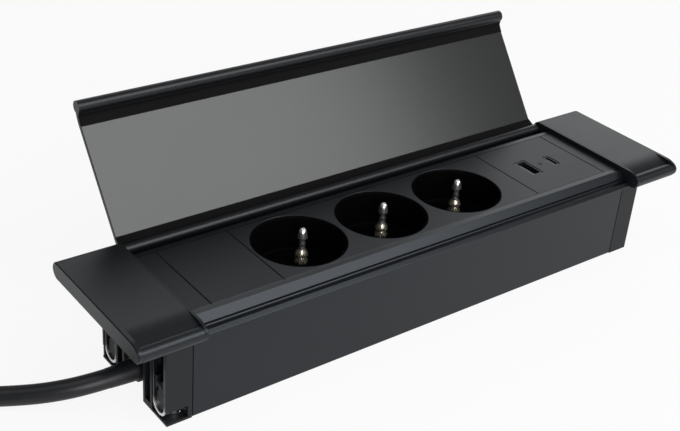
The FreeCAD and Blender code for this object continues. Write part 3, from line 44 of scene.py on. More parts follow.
log = logging.getLogger("power_strip")
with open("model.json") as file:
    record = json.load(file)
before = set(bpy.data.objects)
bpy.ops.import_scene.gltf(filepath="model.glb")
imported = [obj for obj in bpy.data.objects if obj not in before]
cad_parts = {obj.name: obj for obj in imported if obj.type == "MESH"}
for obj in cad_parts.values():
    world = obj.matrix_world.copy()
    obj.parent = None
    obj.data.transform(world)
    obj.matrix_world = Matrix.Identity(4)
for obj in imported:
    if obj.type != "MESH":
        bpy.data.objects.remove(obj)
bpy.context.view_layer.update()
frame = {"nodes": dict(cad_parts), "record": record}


class Grain(Enum):
    """The small relief that a finish shows."""

    SPARK = "spark eroded moulding"
    DRAWN = "lines drawn along the extrusion"
    SATIN = "fine even satin"
    NONE = "smooth"


def node_group(name: str, inputs: tuple[str, ...], outputs: tuple[str, ...]) -> bpy.types.NodeTree:
    """Make an empty shader group whose sockets are numbers.

    Args:
        name: The group's name.
        inputs: The inputs' names.
        outputs: The outputs' names.

    Returns:
        The group, with its input and output nodes placed.
    """
    tree = bpy.data.node_groups.new(name, "ShaderNodeTree")
    for side, labels in (("INPUT", inputs), ("OUTPUT", outputs)):
        for label in labels:
            tree.interface.new_socket(label, in_out=side, socket_type="NodeSocketFloat")
    tree.nodes.new("NodeGroupInput").name = "in"
    tree.nodes.new("NodeGroupOutput").name = "out"
    return tree


def object_coordinates(
        tree: bpy.types.NodeTree,
        scale: tuple[float, float, float] = (1.0, 1.0, 1.0)) -> bpy.types.NodeSocket:
    """Give the scaled object coordinates that a pattern reads.

    Args:
        tree: The tree that holds the pattern.
        scale: How much the pattern is squeezed along each axis.

    Returns:
        The vector socket.
    """
    coordinates = tree.nodes.new("ShaderNodeTexCoord")
    mapping = tree.nodes.new("ShaderNodeMapping")
    mapping.inputs["Scale"].default_value = scale
    tree.links.new(coordinates.outputs["Object"], mapping.inputs["Vector"])
    return mapping.outputs["Vector"]


def noise(tree: bpy.types.NodeTree, vector: bpy.types.NodeSocket, scale: float,
          detail: float) -> bpy.types.NodeSocket:
    """Add a noise texture.

    Args:
        tree: The tree that holds it.
        vector: The coordinates that it reads.
        scale: How many waves it has to a unit of the coordinates.
        detail: How many finer layers it adds.

    Returns:
        The value socket, from 0 to 1 about 0.5.
    """
    texture = tree.nodes.new("ShaderNodeTexNoise")
    texture.inputs["Scale"].default_value = scale
    texture.inputs["Detail"].default_value = detail
    tree.links.new(vector, texture.inputs["Vector"])
    return texture.outputs["Fac"]


def math_node(tree: bpy.types.NodeTree, operation: str,
              *values: bpy.types.NodeSocket | float) -> bpy.types.NodeSocket:
    """Add a maths node.

    Args:
        tree: The tree that holds it.
        operation: What it does.
        values: Its inputs in order, each a socket or a number.

    Returns:
        The value socket of its result.
    """
    item = tree.nodes.new("ShaderNodeMath")
    item.operation = operation
    for index, value in enumerate(values):
        if isinstance(value, (int, float)):
            item.inputs[index].default_value = value
        else:
            tree.links.new(value, item.inputs[index])
    return item.outputs[0]


def seen_rays(tree: bpy.types.NodeTree, glossy: bool = True) -> bpy.types.NodeSocket:
    """Give 1 on the rays by which the camera sees a surface, straight or through glass.

    Args:
        tree: The tree that asks.
        glossy: Whether mirror images count as seen.

    Returns:
        The value socket.
    """
    path = tree.nodes.new("ShaderNodeLightPath")
    seen = math_node(tree, "MAXIMUM", path.outputs["Is Camera Ray"],
                     path.outputs["Is Transmission Ray"])
    return math_node(tree, "MAXIMUM", seen, path.outputs["Is Glossy Ray"]) if glossy else seen


def grain_group(grain: Grain) -> bpy.types.NodeTree:
    """Make the relief of a finish, and the change of its roughness, a value around zero.

    Each comes from a fine and a broad noise. The height is the broad one plus a share of the fine
    one, or for spark eroded moulding the fine one alone.

    Args:
        grain: Which small relief to make.

    Returns:
        A group with input Unevenness, and outputs Height and Rough.
    """
    name = f"grain {grain.name.lower()}"
    if name in bpy.data.node_groups:
        return bpy.data.node_groups[name]
    tree = node_group(name, ("Unevenness",), ("Height", "Rough"))
    amount = tree.nodes["in"].outputs["Unevenness"]
    out = tree.nodes["out"]
    if grain is Grain.DRAWN:
        fine = noise(tree, object_coordinates(tree, (2.5, 900.0, 900.0)), scale=1.0, detail=3.0)
        broad = noise(tree, object_coordinates(tree, (1.0, 60.0, 60.0)), scale=1.0, detail=1.0)
        height = math_node(tree, "MULTIPLY_ADD", fine, 0.7, broad)
    elif grain is Grain.SPARK:
        fine = noise(tree, object_coordinates(tree), scale=2600.0, detail=2.0)
        broad = noise(tree, object_coordinates(tree), scale=28.0, detail=2.0)
        height = fine
    else:
        fine = noise(tree, object_coordinates(tree), scale=1700.0, detail=1.0)
        broad = noise(tree, object_coordinates(tree), scale=20.0, detail=2.0)
        height = math_node(tree, "MULTIPLY_ADD", fine, 0.6, broad)
    tree.links.new(height, out.inputs["Height"])
    fine_part = math_node(tree, "MULTIPLY", math_node(tree, "SUBTRACT", fine, 0.5), 0.6)
    both = math_node(tree, "ADD", math_node(tree, "SUBTRACT", broad, 0.5), fine_part)
    tree.links.new(math_node(tree, "MULTIPLY", both, amount), out.inputs["Rough"])
    return tree


def tone_group() -> bpy.types.NodeTree:
    """Make a slow drift of a colour over the piece, as handling and moulding leave it.

    Returns:
        A group with input Amount and output Mask.
    """
    name = "tone drift"
    if name in bpy.data.node_groups:
        return bpy.data.node_groups[name]
    tree = node_group(name, ("Amount",), ("Mask",))
    slow = noise(tree, object_coordinates(tree), scale=14.0, detail=3.0)
    value = math_node(tree, "MULTIPLY", slow, tree.nodes["in"].outputs["Amount"])
    tree.links.new(value, tree.nodes["out"].inputs["Mask"])
    return tree


@dataclass(frozen=True)
class Finish:
    """A surface finish, built as one material.

    The depth is the grain's in millimetres, the tint is the highlights' colour, and the drift is
    how far the colour goes towards the second one. Where that isn't given, it is the first one
    times paler.
    """

    name: str
    colour: tuple[float, float, float]
    second: tuple[float, float, float] | None = None
    metallic: float = 0.0
    roughness: float = 0.4
    specular: float = 0.5
    tint: tuple[float, float, float] = (1.0, 1.0, 1.0)
    grain: Grain = Grain.SATIN
    depth: float = 0.02
    unevenness: float = 0.06
    drift: float = 0.25
    paler: float = 1.35
    # Where this height is given, the second colour is a painted highlight below it, reaching full
    # strength the next field's distance under it.
    highlight_below: float | None = None
    highlight_over: float = 4.0

    def material(self) -> bpy.types.Material:
        """Build the material, or give it if it is built already.

        Returns:
            The material: a Principled shader with the finish's grain and colour drift.
        """
        if self.name in bpy.data.materials:
            return bpy.data.materials[self.name]
        material = bpy.data.materials.new(self.name)
        material.use_nodes = True
        tree = material.node_tree
        shader = tree.nodes["Principled BSDF"]
        shader.inputs["Metallic"].default_value = self.metallic
        shader.inputs["Specular IOR Level"].default_value = self.specular
        shader.inputs["Specular Tint"].default_value = (*self.tint, 1.0)
        shader.inputs["Roughness"].default_value = self.roughness
        shader.inputs["Base Color"].default_value = (*self.colour, 1.0)
        self._colour(tree, shader)
        if self.grain is not Grain.NONE:
            self._relief(tree, shader)
        return material

    def _colour(self, tree: bpy.types.NodeTree, shader: bpy.types.Node) -> None:
        """Mix the colour with the second one over the piece.

        Args:
            tree: The material's tree.
            shader: The Principled shader that takes the colour.
        """
        mix = tree.nodes.new("ShaderNodeMix")
        mix.data_type = "RGBA"
        second = self.second or tuple(channel * self.paler for channel in self.colour)
        # Of a colour mix, input 6 is the first colour, input 7 the second, and output 2 the result.
        mix.inputs[6].default_value = (*self.colour, 1.0)
        mix.inputs[7].default_value = (*second, 1.0)
        # Below a given height the second colour is a painted highlight; elsewhere it drifts slowly
        # over the piece.
        share = self._drift(tree) if self.highlight_below is None else self._foot_highlight(tree)
        tree.links.new(share, mix.inputs[0])
        tree.links.new(mix.outputs[2], shader.inputs["Base Color"])

    def _drift(self, tree: bpy.types.NodeTree) -> bpy.types.NodeSocket:
        """Give the second colour's share where it drifts slowly over the piece.

        It is twice the drift times a noise about 0.5, and so the drift itself on average.

        Args:
            tree: The material's tree.

        Returns:
            The value socket.
        """
        mask = tree.nodes.new("ShaderNodeGroup")
        mask.node_tree = tone_group()
        mask.inputs["Amount"].default_value = self.drift * 2
        return mask.outputs["Mask"]

    def _foot_highlight(self, tree: bpy.types.NodeTree) -> bpy.types.NodeSocket:
        """Give the second colour's share low down, a painted highlight that stands for the table's
        reflection on the foot.

        It rises evenly from 0 at the highlight's top height to 1 a set distance under that.

        Args:
            tree: The material's tree.

        Returns:
            The value socket.
        """
        height = tree.nodes.new("ShaderNodeSeparateXYZ")
        tree.links.new(object_coordinates(tree), height.inputs[0])
        fall = tree.nodes.new("ShaderNodeMapRange")
        fall.inputs["From Min"].default_value = self.highlight_below * MM
        fall.inputs["From Max"].default_value = (self.highlight_below - self.highlight_over) * MM
        tree.links.new(height.outputs["Z"], fall.inputs["Value"])
        return fall.outputs[0]

    def _relief(self, tree: bpy.types.NodeTree, shader: bpy.types.Node) -> None:
        """Feed the grain into the roughness and the normal.

        Args:
            tree: The material's tree.
            shader: The Principled shader that takes them.
        """
        grain = tree.nodes.new("ShaderNodeGroup")
        grain.node_tree = grain_group(self.grain)
        grain.inputs["Unevenness"].default_value = self.unevenness
        rough = math_node(tree, "ADD", grain.outputs["Rough"], self.roughness)
        tree.links.new(rough, shader.inputs["Roughness"])
        bump = tree.nodes.new("ShaderNodeBump")
        bump.inputs["Distance"].default_value = self.depth * MM
        tree.links.new(grain.outputs["Height"], bump.inputs["Height"])
        tree.links.new(bump.outputs["Normal"], shader.inputs["Normal"])


# The cool cast of the highlights on the anodised metal and the panels.
BLUISH = (0.83, 0.91, 1.0)
ANODISED = Finish("black_anodised_extrusion", (0.0045, 0.0051, 0.0062), roughness=0.32,
                  specular=0.46, tint=BLUISH, grain=Grain.DRAWN, depth=0.012)
SHEET = Finish("dark_gloss_sheet", (0.03, 0.032, 0.031), metallic=0.35, roughness=0.22,
               specular=0.6, grain=Grain.SATIN, depth=0.003, unevenness=0.03)
LID = Finish("black_anodised_lid", (0.0045, 0.0048, 0.0055), roughness=0.38, specular=0.5,
             tint=(0.93, 0.96, 1.0), grain=Grain.DRAWN, depth=0.012)
COATED = Finish("charcoal_flange_coat", (0.005, 0.0056, 0.0068), roughness=0.38,
                specular=0.52, tint=(0.87, 0.94, 1.0), grain=Grain.SPARK, depth=0.006)
PANEL = Finish("satin_black_panel", (0.005, 0.0057, 0.0075), roughness=0.42, specular=0.48,
               tint=BLUISH, grain=Grain.SPARK, depth=0.008)
# Darker than the other black mouldings and with almost no specular: partly the plastic's own black,
# partly painted shade of the deep wells.
SOCKET = Finish("black_socket_moulding", (0.0016, 0.0016, 0.0015), roughness=0.6, specular=0.02,
                grain=Grain.SATIN, depth=0.006)
END_CAP = Finish("matt_grey_cap", (0.005, 0.0058, 0.0078), roughness=0.5, specular=0.38,
                 grain=Grain.SPARK, depth=0.02)
INNER = Finish("plain_inner_moulding", (0.03, 0.03, 0.032), roughness=0.55, grain=Grain.SPARK)
SHUTTER = Finish("black_shutter", (0.003, 0.003, 0.0035), roughness=0.4, grain=Grain.SPARK,
                 depth=0.01)
CARRIAGE = Finish("dark_glass_filled", (0.012, 0.0125, 0.014), roughness=0.5, specular=0.2,
                  grain=Grain.SPARK)
CLAW = Finish("dark_cast_claw", (0.012, 0.0125, 0.014), roughness=0.42, specular=0.2,
              grain=Grain.SPARK, depth=0.01)
# Dark zinc whose foot is painted near-white below -33 mm: a painted highlight, the table's
# reflection on its rounded foot.
STIRRUP = Finish("foot_worn_zinc", (0.10, 0.105, 0.115), metallic=1.0, roughness=0.36,
                 second=(0.95, 0.96, 0.98), highlight_below=-33.0, grain=Grain.SATIN, depth=0.004)
ZINC = Finish("bright_zinc", (0.72, 0.74, 0.77), metallic=1.0, roughness=0.22,
              grain=Grain.SATIN, depth=0.004)
NICKEL = Finish("nickel_plate", (0.97, 0.96, 0.94), metallic=0.96, roughness=0.25,
                grain=Grain.SATIN, depth=0.002)
SLEEVE = Finish("gilt_sleeve", (0.98, 0.88, 0.73), metallic=0.93, roughness=0.26,
                grain=Grain.SATIN, depth=0.003)
BRASS = Finish("rolled_brass", (0.72, 0.5, 0.2), metallic=1.0, roughness=0.3)
PORT = Finish("dark_port_shell", (0.14, 0.14, 0.145), metallic=1.0, roughness=0.4)
LENS = Finish("smoked_light_guide", (0.003, 0.003, 0.003), roughness=0.3, specular=0.1,
              grain=Grain.NONE)
GROMMET = Finish("soft_black_grommet", (0.005, 0.005, 0.005), roughness=0.5)
# Near-black and matt, for the strips inside the lid: painted shade.
PAINTED_SHADE = Finish("flat_black_seal", (0.003, 0.003, 0.0035), roughness=0.75, specular=0.12,
              grain=Grain.SPARK, depth=0.02)
SHEATH = Finish("smooth_cord_sheath", (0.011, 0.0117, 0.0138), roughness=0.38, specular=0.4,
                grain=Grain.SATIN, depth=0.008)
PLUG = Finish("black_plug_moulding", (0.009, 0.009, 0.01), roughness=0.4, grain=Grain.SPARK,
              depth=0.02)

SLOT_FINISHES: dict[str, Finish] = {
    "black_aluminium": ANODISED, "dark_glass_sheet": SHEET, "grey_coat": COATED,
    "black_plastic": PANEL, "socket_plastic": SOCKET, "grey_plastic": END_CAP,
    "inner_plastic": INNER, "shutter_plastic": SHUTTER, "carriage_plastic": CARRIAGE,
    "zinc_steel": ZINC, "claw_metal": CLAW, "nickel": NICKEL, "brass": BRASS,
    "port_steel": PORT, "led_lens": LENS, "soft_black": GROMMET, "cord_black": SHEATH,
    "plug_black": PLUG,
}
NODE_FINISHES: dict[str, Finish] = {"clamp_stirrups": STIRRUP, "lid": LID}


def ringed_mesh(name: str, rings: np.ndarray) -> bpy.types.Mesh:
    """Make a closed mesh from rings of points, each ring joined to the next.

    Point i of a ring is joined to point i + 1 around and to point i of the next ring, and one
    flat face closes each end. The rings follow one another along the direction for which their
    points run anticlockwise, so the faces point outwards.

    Args:
        name: The mesh's name.
        rings: Points in millimetres, as an array of rings, points around, and three columns.

    Returns:
        The mesh, shaded smooth between its sharp edges.
    """
    count, around = rings.shape[:2]
    index = np.arange(count * around).reshape(count, around)
    following = np.roll(index, -1, axis=1)
    quads = np.stack([index[:-1], following[:-1], following[1:], index[1:]], axis=2)
    ends = [index[0][::-1].tolist(), index[-1].tolist()]
    mesh = bpy.data.meshes.new(name)
    mesh.from_pydata((rings.reshape(-1, 3) * MM).tolist(), [], quads.reshape(-1, 4).tolist() + ends)
    mesh.shade_smooth()
    mesh.set_sharp_from_angle(angle=math.radians(CREASE))
    return mesh


def turned_rings(profile: np.ndarray, centre: tuple[float, float], around: int) -> np.ndarray:
    """Turn a profile about an upright axis: x = cx + r cos a, y = cy + r sin a, z = height.

    Args:
        profile: Radius and height of each ring in millimetres, from the foot up.
        centre: Where the axis stands.
        around: How many points each ring has.

    Returns:
        The rings, as an array of rings, points around, and three columns.
    """
    angle = np.linspace(0.0, 2 * math.pi, around, endpoint=False)
    radius = profile[:, :1]
    height = np.repeat(profile[:, 1:], around, axis=1)
    return np.stack([centre[0] + radius * np.cos(angle), centre[1] + radius * np.sin(angle),
                     height], axis=2)


def swept_rings(path: np.ndarray, radius: np.ndarray, around: int) -> np.ndarray:
    """Carry a circle along a path: centre + r (cos a side + sin a over).

    The side is level and square to the path, and the over is square to both.

    Args:
        path: The centres of the rings in millimetres.
        radius: The radius of each ring.
        around: How many points each ring has.

    Returns:
        The rings, as an array of rings, points around, and three columns.
    """
    along = np.gradient(path, axis=0)
    along /= np.linalg.norm(along, axis=1, keepdims=True)
    side = np.cross((0.0, 0.0, 1.0), along)
    side /= np.linalg.norm(side, axis=1, keepdims=True)
    over = np.cross(along, side)
    angle = np.linspace(0.0, 2 * math.pi, around, endpoint=False)[:, None]
    turn = np.cos(angle) * side[:, None, :] + np.sin(angle) * over[:, None, :]
    return path[:, None, :] + radius[:, None, None] * turn


def settle(name: str, mesh: bpy.types.Mesh, body: str, slot: str,
           *finishes: Finish) -> bpy.types.Object:
    """Make an object of a mesh, dress it, and let it ride on a body.

    Args:
        name: The piece's name.
        mesh: Its mesh, in place.
        body: The body that it rides on.
        slot: The record's slot of its finish; not used.
        finishes: The finishes that its faces name by their index.

    Returns:
        The object.
    """
    item = bpy.data.objects.new(name, mesh)
    bpy.context.scene.collection.objects.link(item)
    for finish in finishes:
        mesh.materials.append(finish.material())
    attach(item, body)
    log.info("%s: %d faces", name, len(mesh.polygons))
    return item


@dataclass
class MainsLead:
    """The lead: a free stretch out of the cap, then a put-away coil that ends in the plug."""

    coil_radius: float = 57.5
    pitch: float = 9.0
    first_angle: float = 60.0
    lower_turns: float = 2.25
    upper_turns: float = 1.791667
    tail: float = 25.0
    points_a_turn: int = 24
    route: list[tuple[float, float, float]] = field(default_factory=lambda: [
        (-133.9, 0.0, -30.5), (-142.1, 0.0, -30.5), (-151.0, 1.4, -31.2), (-160.9, 4.9, -32.9),
        (-171.9, 11.0, -35.0), (-185.2, 20.0, -36.7), (-204.0, 31.4, -37.2),
        (-222.443, 41.443, -37.2),
    ])

    def coil_points(self) -> np.ndarray:
        """Give the coil's control points: a flat spiral in, half a turn up, a flat spiral out.

        The radius shrinks by one pitch a turn below, reverses in the half turn in which the
        height rises by one pitch along a half cosine, and grows by one pitch a turn above.

        Returns:
            An array of points in millimetres, three columns.
        """
        rate = self.pitch / (2 * math.pi)
        lower = 2 * math.pi * self.lower_turns
        total = lower + math.pi + 2 * math.pi * self.upper_turns
        turn = np.linspace(0.0, total, round(total / (2 * math.pi) * self.points_a_turn) + 1)
        inner = self.coil_radius - rate * lower
        part = np.clip(turn - lower, 0.0, math.pi)
        radius = np.where(turn <= lower, self.coil_radius - rate * turn,
                          inner - rate * (part - part ** 2 / math.pi))
        radius = np.where(turn >= lower + math.pi, inner + rate * (turn - lower - math.pi), radius)
        height = self.pitch * (1 - np.cos(part)) / 2
        first = math.radians(self.first_angle)
        slope = math.atan(rate / self.coil_radius)
        heading = first + math.pi / 2 + slope
        start = np.array(self.route[-1])
        entry = start + 2 * LEAD_RADIUS * np.array([math.cos(heading), math.sin(heading), 0.0])
        centre = entry - self.coil_radius * np.array([math.cos(first), math.sin(first), 0.0])
        angle = first + turn
        points = np.stack([centre[0] + radius * np.cos(angle), centre[1] + radius * np.sin(angle),
                           centre[2] + height], axis=1)
        last = angle[-1]
        away = math.atan2(rate * math.sin(last) + radius[-1] * math.cos(last),
                          rate * math.cos(last) - radius[-1] * math.sin(last))
        onward = np.array([math.cos(away), math.sin(away), 0.0])
        steps = np.array([0.5, 1.0])[:, None] * self.tail
        return np.vstack([points, points[-1] + steps * onward])

    def build(self) -> bpy.types.Object:
        """Returns:
            The lead.
        """
        points = np.vstack([np.array(self.route), self.coil_points()]) * MM
        curve = bpy.data.curves.new("mains_lead", "CURVE")
        curve.dimensions = "3D"
        curve.bevel_depth = LEAD_RADIUS * MM
        curve.bevel_resolution = 8
        curve.resolution_u = 6
        curve.use_fill_caps = True
        spline = curve.splines.new("NURBS")
        spline.points.add(len(points) - 1)
        spline.points.foreach_set("co", np.hstack([points, np.ones((len(points), 1))]).ravel())
        spline.order_u = 3
        spline.use_endpoint_u = True
        lead = bpy.data.objects.new("mains_lead", curve)
        bpy.context.scene.collection.objects.link(lead)
        curve.materials.append(SHEATH.material())
        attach(lead, "base")
        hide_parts("power_cable", "cable_coil")
        log.info("mains lead of %d points", len(points))
        return lead


@dataclass
class StrainRelief:
    """The tapered sleeve over the lead at the cap, ringed inside the cap and smooth outside it.

    It starts at x = root. Its rings are a pitch apart, and the last one is at ringed from there.
    """

    root: float = -124.9
    length: float = 21.0
    base_radius: float = 5.2
    tip_radius: float = 4.17
    pitch: float = 1.9
    groove: float = 0.5
    ringed: float = 8.6
    grip: float = 0.05
    steps: int = 140
    around: int = 48

    def build(self, lead: bpy.types.Object) -> None:
        """Slip the sleeve over the lead.

        The sleeve's centre follows the lead's own spline. Its radius falls along a straight
        line from root to tip, less a groove of rounded section at every ring. At the tip it
        turns in to the lead and grips it.

        Args:
            lead: The lead, whose spline the sleeve follows.
        """
        bare = lead.copy()
        bare.data = lead.data.copy()
        bare.data.bevel_depth = 0.0
        line = bpy.data.meshes.new_from_object(bare)
        path = np.empty(len(line.vertices) * 3)
        line.vertices.foreach_get("co", path)
        path = path.reshape(-1, 3) / MM
        bpy.data.objects.remove(bare)
        root = np.array([[self.root, path[0, 1], path[0, 2]]])
        path = np.vstack([root, path])
        reach = np.concatenate([[0.0], np.cumsum(np.linalg.norm(np.diff(path, axis=0), axis=1))])
        along = np.linspace(0.0, self.length, self.steps)
        centre = np.stack([np.interp(along, reach, path[:, axis]) for axis in range(3)], axis=1)
        part = along / self.length
        radius = self.base_radius + (self.tip_radius - self.base_radius) * part
        wave = np.cos(2 * math.pi * along / self.pitch)
        cut = self.groove * (1 - part) * np.clip(-wave, 0.0, 1.0)
        radius = radius - cut * (along > self.pitch / 4) * (along < self.ringed)
        inside = np.full(self.steps, LEAD_RADIUS - self.grip)
        rings = np.vstack([swept_rings(centre, radius, self.around),
                           swept_rings(centre, inside, self.around)[-1:]])
        settle("strain_relief", ringed_mesh("strain_relief", rings), "base", "cord_black", SHEATH)


@dataclass
class EarthPin:
    """A turned earth pin: plated nose and neck on a ringed brass-coloured sleeve.

    A row of an outline is a radius, counted from that of the sleeve or the neck, and a height.
    The sleeve stands on the well's floor, and the thinner shank goes on below.
    """

    number: int
    place: tuple[float, float]
    foot: float = -35.2
    tip: float = 5.9
    shank: float = 2.0
    sleeve: float = 2.95
    neck: float = 1.15
    nose: float = 2.3
    nose_foot: float = 1.3
    nose_end: float = 0.06
    nose_steps: int = 18
    taper: float = 0.3
    flank_steps: int = 8
    around: int = 96
    slots: int = 8
    slot_depth: float = 1 / 6
    slot_edge: float = 0.9
    gilt_above: float = 0.6
    sleeve_outline: list[tuple[float, float]] = field(default_factory=lambda: [
        (0.0, -11.0), (0.1, -10.75), (0.05, -10.2), (-0.25, -9.4), (-0.95, -8.25), (-1.1, -7.95),
        (-0.1, -7.6), (0.0, -7.4), (-0.05, -6.9), (-0.35, -6.1), (-1.0, -5.0), (-1.05, -4.9)])
    neck_outline: list[tuple[float, float]] = field(default_factory=lambda: [
        (0.1, -3.0), (0.35, -2.6), (0.35, -1.7), (0.05, -0.9), (0.0, 0.3), (1.0, 1.0)])

    def profile(self) -> np.ndarray:
        """Give radius and height from foot to tip.

        Between the sleeve and the neck the radius falls with the 0.75th power of the height.
        The nose is a blunt cone: its radius is the full one, less the taper's share of it times
        t, times (1 - t ** 6) ** 0.5. There t is how far up the nose a ring lies, or 1 - u ** 1.5
        with u falling evenly from 1 at the nose's foot to nose_end at its tip.

        Returns:
            Rows of radius and height in millimetres.
        """
        sleeve = np.array(self.sleeve_outline) + (self.sleeve, 0.0)
        neck = np.array(self.neck_outline) + (self.neck, 0.0)
        shaft = [(0.02, self.foot), (self.shank, self.foot), (self.shank, sleeve[0, 1] - 0.01)]
        share = np.linspace(0.0, 1.0, self.flank_steps + 1)[1:-1, None]
        flank = sleeve[-1] + (neck[0] - sleeve[-1]) * np.hstack([share ** 0.75, share])
        part = 1 - np.linspace(1.0, self.nose_end, self.nose_steps) ** 1.5
        nose = np.stack([self.nose * (1 - self.taper * part) * (1 - part ** 6) ** 0.5,
                         self.nose_foot + (self.tip - self.nose_foot) * part], axis=1)
        return np.vstack([shaft, sleeve, flank, neck, nose])

    def build(self) -> None:
        """Turn the pin, slot its sleeve, and dress the sleeve warmer than the pin.

        A slot is where the cosine of the slot count times the angle nears 1: there the sleeve's
        radius falls by the slot's depth.
        """
        name = f"turned_earth_pin_{self.number}"
        bottom, top = self.sleeve_outline[0][1], self.sleeve_outline[-1][1]
        profile = self.profile()
        rings = turned_rings(profile, self.place, self.around)
        angle = np.linspace(0.0, 2 * math.pi, self.around, endpoint=False)
        past = np.cos(self.slots * angle) - self.slot_edge
        slot = self.slot_depth * np.clip(past / (1 - self.slot_edge), 0.0, 1.0)
        sleeve = (profile[:, 1] > bottom) & (profile[:, 1] < top)
        shrink = 1 - slot[None, :, None] * sleeve[:, None, None]
        axis = np.array([*self.place, 0.0])
        rings = axis + (rings - axis) * np.concatenate([shrink, shrink, np.ones_like(shrink)], 2)
        mesh = ringed_mesh(name, rings)
        pin = settle(name, mesh, "base", "nickel", NICKEL, SLEEVE)
        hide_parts(f"earth_pin_{self.number}")
        middle = (profile[:-1, 1] + profile[1:, 1]) / 2
        warm = np.repeat(middle < top + self.gilt_above, self.around)
        foot_and_tip = [True, False]
        mesh.polygons.foreach_set("material_index",
                                  np.concatenate([warm, foot_and_tip]).astype(np.int32))


@dataclass
class FootCover:
    """The thin plate that closes the slot in the left end cap's back wall, at its foot.

    It lies between its lowest and its highest corner, with its outline's corners rounded.
    """

    low: tuple[float, float, float] = (-134.4, 25.45, -40.08)
    high: tuple[float, float, float] = (-122.55, 26.8, -34.82)
    corner: float = 0.6
    bevel: float = 0.2
    around: int = 32

    def outline(self, inset: float) -> np.ndarray:
        """Give the plate's outline, drawn in by an inset.

        It is a rounded box: each corner's centre plus the corner radius times the cosine and
        sine of an angle that runs once around.

        Args:
            inset: How far the outline is drawn in, in millimetres.

        Returns:
            Rows of x and z in millimetres.
        """
        angle = (np.arange(self.around) + 0.5) * 2 * math.pi / self.around
        turn = np.stack([np.cos(angle), np.sin(angle)], axis=1)
        low, high = np.array(self.low)[[0, 2]], np.array(self.high)[[0, 2]]
        middle, half = (low + high) / 2, (high - low) / 2
        return middle + np.sign(turn) * (half - self.corner) + turn * (self.corner - inset)

    def build(self) -> None:
        """Stack the outline through the plate's thickness, with its edges broken."""
        front, back = self.low[1], self.high[1]
        layers = [(front, self.bevel), (front + self.bevel, 0.0), (back - self.bevel, 0.0),
                  (back, self.bevel)]
        rings = np.stack([np.insert(self.outline(inset), 1, y, axis=1)[::-1]
                          for y, inset in layers])
        settle("foot_cover", ringed_mesh("foot_cover", rings), "base", "grey_plastic", END_CAP)


@dataclass
class LidShadeStrips:
    """Thin flat black strips inside the lid, along both edges of its sheet: painted shade, laid
    where the lid's inner face shades dark beside the bead and the hinge.

    Their sections are laid out as the lid lies closed, and are then swung open with the lid.
    """

    half_length: float = 120.9
    thick: float = 0.14
    lap: float = 0.02
    hinge: tuple[float, float] = (33.9, 3.6)
    opening: float = 126.5
    bead_run: list[tuple[float, float]] = field(default_factory=lambda: [
        (-20.56, 6.2), (-21.6, 6.19), (-22.5, 6.13), (-23.5, 6.0), (-24.4, 5.84), (-24.8, 5.47),
        (-25.15, 5.08), (-25.5, 4.72)])
    hinge_run: list[tuple[float, float]] = field(default_factory=lambda: [
        (31.3, 4.57), (30.6, 4.94), (29.9, 5.31), (29.2, 5.68), (28.6, 5.99), (28.2, 6.16),
        (27.84, 6.2)])
    stations: int = 40

    def build(self) -> None:
        """Lay the strip beside the bead and the strip beside the hinge."""
        self.strip("lid_seal_bead", np.array(self.bead_run))
        self.strip("lid_seal_hinge", np.array(self.hinge_run))

    def strip(self, name: str, run: np.ndarray) -> None:
        """Carry a strip's section along the lid: the run, and the run set in by its thickness.

        The inner line lies a thickness away along the run's normals, and the outer one laps a
        little into the lid. The section is then turned about the hinge by the opening.

        Args:
            name: The piece's name.
            run: The line on the lid's inner face, as rows of y and z with y falling.
        """
        along = np.gradient(run, axis=0)
        along /= np.linalg.norm(along, axis=1, keepdims=True)
        inward = np.stack([-along[:, 1], along[:, 0]], axis=1)
        section = np.vstack([run - self.lap * inward, (run + self.thick * inward)[::-1]])
        turn = -math.radians(self.opening)
        y, z = section[:, 0] - self.hinge[0], section[:, 1] - self.hinge[1]
        opened = np.stack([self.hinge[0] + y * math.cos(turn) - z * math.sin(turn),
                           self.hinge[1] + y * math.sin(turn) + z * math.cos(turn)], axis=1)
        place = np.linspace(-self.half_length, self.half_length, self.stations)
        rings = np.stack([np.insert(opened, 0, x, axis=1) for x in place])
        settle(name, ringed_mesh(name, rings), "lid", "soft_black", PAINTED_SHADE)


@dataclass(frozen=True)
class Lamp:
    """A soft rectangular lamp: where it hangs, the point it faces, its size and its watts."""

    name: str
    place: tuple[float, float, float]
    size: tuple[float, float]
    power: float
    aim: tuple[float, float, float] = (0.0, 0.0, 0.02)

    def build(self) -> None:
        """Hang the lamp so that it faces its aim, with its width level."""
        data = bpy.data.lights.new(self.name, "AREA")
        data.shape = "RECTANGLE"
        data.size, data.size_y = self.size
        data.energy = self.power
        lamp = bpy.data.objects.new(self.name, data)
        bpy.context.scene.collection.objects.link(lamp)
        toward = np.array(self.place) - np.array(self.aim)
        toward = toward / np.linalg.norm(toward)
        across = np.cross((0.0, 0.0, 1.0), toward)
        across = across / np.linalg.norm(across)
        turn = Matrix((across, np.cross(toward, across), toward)).transposed()
        lamp.matrix_world = Matrix.Translation(self.place) @ turn.to_4x4()


# A broad lamp in front, a low one on the left, and weaker ones above and behind.
LAMPS = (
    Lamp("front_softbox", (0.48, -0.91, 0.95), (0.9, 0.8), 9.0),
    Lamp("left_softbox", (-0.45, -1.2, 0.33), (0.8, 0.7), 9.0),
    Lamp("overhead_softbox", (-0.3, -0.17, 1.35), (1.2, 0.8), 3.4, aim=(0.0, 0.0, 0.0)),
    Lamp("back_right_softbox", (1.05, 0.7, 0.59), (0.6, 0.6), 1.75),
    Lamp("back_softbox", (0.42, 1.05, 0.81), (0.6, 0.5), 1.05),
)


